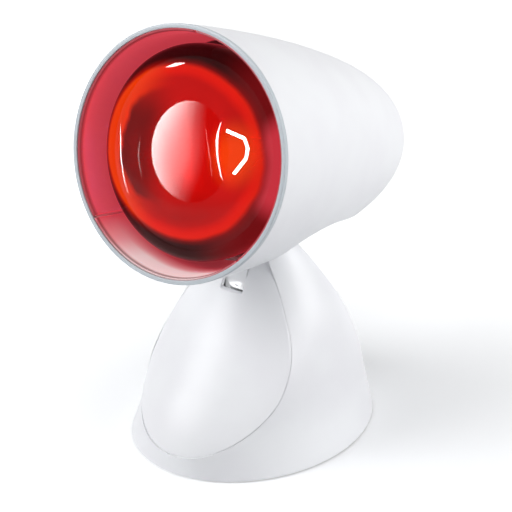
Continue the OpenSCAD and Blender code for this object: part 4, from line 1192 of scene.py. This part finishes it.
def add_card(name, azimuth, height, outline, faces, fades):
    """A lit card that only the bulb's glass mirrors, as a highlight on its dome. Its outline is
    in millimetres, across and up, from where the given direction meets it."""
    centre = (TO_METRES @ IN_SHADE) @ Vector((0, 3, 0))
    outward = towards(math.radians(azimuth), math.radians(height))
    across = Vector((0, 0, 1)).cross(outward).normalized()
    up = outward.cross(across)
    middle = centre + outward * CARD_DISTANCE
    mesh = bpy.data.meshes.new(name)
    mesh.from_pydata([middle + (across * a + up * b) * 0.001 for a, b in outline], [], faces)
    left = min(a for a, b in outline)
    width = max(a for a, b in outline) - left
    uv = mesh.uv_layers.new(name="UVMap")
    for loop, corner in zip(uv.data, mesh.loops):
        loop.uv = ((outline[corner.vertex_index][0] - left) / width, 0.5)
    mesh.materials.append(window_material(fades))
    card = new_object(name, mesh)
    card.visible_camera = False
    card.visible_diffuse = False
    card.visible_shadow = False
    card.light_linking.receiver_collection = only_on_glass


def add_ribbon(name, azimuth, height, path, half_w, level):
    """A card in the shape of a pointed ribbon that follows a path."""
    steps = 24
    xs, ys = zip(*path)
    line = []
    for i in range(steps + 1):
        t = LEVEL_STEP * (len(path) - 1) * i / steps
        line.append(Vector((at(xs, t), at(ys, t))))
    outline = []
    for i, here in enumerate(line):
        along = (line[min(i + 1, steps)] - line[max(i - 1, 0)]).normalized()
        wide = half_w * (0.15 + 0.85 * math.sin(math.pi * i / steps))
        aside = Vector((-along.y, along.x)) * wide
        outline += [tuple(here - aside), tuple(here + aside)]
    faces = [(2 * i, 2 * i + 1, 2 * i + 3, 2 * i + 2) for i in range(steps)]
    add_card(name, azimuth, height, outline, faces, [(0.0, level), (1.0, level)])


# ---- Putting it together -------------------------------------------------------------------
def finish_cad_nodes():
    """Materials of the pieces that stay as the model has them."""
    zinc = turned_metal("zinc_plated_steel", ("#b9bcc0", "#cfd2d5"), (0.25, 0.4))
    brass = turned_metal("stamped_brass", ("#b89a4e", "#cdb064"), (0.25, 0.4))
    aluminium = turned_metal("rolled_aluminium_cap", ("#c9ccd0", "#dadcdf"), (0.2, 0.35))
    iron = turned_metal("cast_iron", ("#3a3d40", "#484c50"), (0.55, 0.75), 0.8)
    wire = turned_metal("molybdenum_wire", ("#8c8c8e", "#a5a5a8"), (0.3, 0.45))
    porcelain = satin_abs("glazed_porcelain", ("#efece2", "#f6f4ec"), (0.16, 0.24))
    nylon = satin_abs("moulded_nylon", ("#dddcd6", "#e8e7e2"), (0.45, 0.55))
    dark = satin_abs("black_moulded_abs", ("#2a2c2f", "#34363a"), (0.45, 0.6))
    rubber = satin_abs("moulded_rubber", ("#1b1c1e", "#242527"), (0.7, 0.85))
    sheath = satin_abs("silicone_cable_sheath", ("#56585b", "#66686c"), (0.5, 0.62))
    vitrite = satin_abs("black_cap_glass", ("#1d1f23", "#2b2e33"), (0.08, 0.16))
    coated = satin_abs("powder_coated_steel", ("#e8eaec", "#eef0f1"), (0.4, 0.5))
    looks = {
        "saddle_cover": WHITE, "tilt_arm": WHITE, "hinge_bracket": coated,
        "cable_clip": nylon, "cord_gland": nylon, "terminal_block": nylon,
        "lampholder": porcelain, "cap_insulator": vitrite,
        "bottom_plate": dark, "foot_ring": rubber, "ballast_plate": iron,
        "shade_cable": sheath, "base_cable": sheath,
        "thread_shell": brass, "centre_contact": brass, "screw_cap": aluminium,
        "tip_contact": aluminium, "filament_supports": wire, "bulb_stem": clear_glass(),
    }
    for name, cad_node in nodes.items():
        if cad_node.hide_render:
            continue
        finish = looks.get(name, zinc)
        cad_node.data.materials.clear()
        cad_node.data.materials.append(finish)


add_camera()
bpy.context.scene.view_settings.view_transform = "Standard"

WHITE = satin_abs("satin_white_abs", ("#eeeef1", "#f2f3f5"))
# The mouth ring's grey is painted shade: it stands for the shade on its front face, which turns
# away from the lights.
RIM_SHADE_GREY = satin_abs("shade_grey_abs", ("#bcc3c9", "#c4cbd0"), (0.3, 0.38))
LINER = liner_material()

shade_cowl(bullet_tree(), WHITE)
mouth_ring(RIM_SHADE_GREY)
low_half = LINER_LOW_HALF - 2 * LINER_JOINT
liner("liner_right", -90 + LINER_JOINT, 90 - LINER_LOW_HALF, LINER_STEP, LINER)
liner("liner_left", 90 + LINER_LOW_HALF, 270 - LINER_JOINT, LINER_STEP, LINER)
liner("liner_lower", 90 - low_half, 90 + low_half, 0, LINER)
bulb_glass(ruby_glass(), mirror_coat())
filament(glowing_tungsten())
foot_shell(WHITE)
foot_panel(WHITE)
finish_cad_nodes()

glass = bpy.data.objects["bulb_glass"]
only_on_glass = linked_group("only_on_glass", "INCLUDE", glass)
not_on_glass = linked_group("not_on_glass", "EXCLUDE", glass)
only_on_lamp = linked_group("only_on_lamp", "EXCLUDE", glass, add_floor())

add_world(0.22)
add_softbox("left_softbox", -36, 29, 0.7, 9.8, not_on_glass)
add_softbox("right_softbox", 112, 25, 0.7, 10, only_on_lamp)
add_softbox("top_softbox", 60, 75, 0.6, 2, not_on_glass)
add_slot_fill()
round_window = [(20 + 97 * a, 5 + 103 * b) for a, b in circle((0, 0), 1, 64)]
add_card("round_window", -32, 4.5, round_window, [tuple(range(64))],
         [(0.0, 0.62), (0.06, 0.56), (0.124, 0.45), (0.2, 0.31), (0.277, 0.175),
          (0.375, 0.048), (0.46, 0.012), (0.52, 0.0)])
add_ribbon("top_strip", -56, 30, [(-43, -6.5), (-18, 29), (4, 68)], 18, 1.0)
add_ribbon("left_strip", -58, -8, [(-81, 72), (-40, 46), (-18, 5), (-4, -43), (0, -92)], 4, 0.7)
add_ribbon("inner_strip", -43.5, -1, [(-22, 27), (-18, -6), (-3, -43)], 3, 0.12)
add_ribbon("right_strip", -26, 5, [(25, 91), (9, 46), (7, 17), (19, -10), (51, -41)], 4.5, 1.0)
add_ribbon("faint_strip", -29.5, 4.5, [(-1, 43), (7, 12), (18, -8), (38, -36)], 2, 0.1)
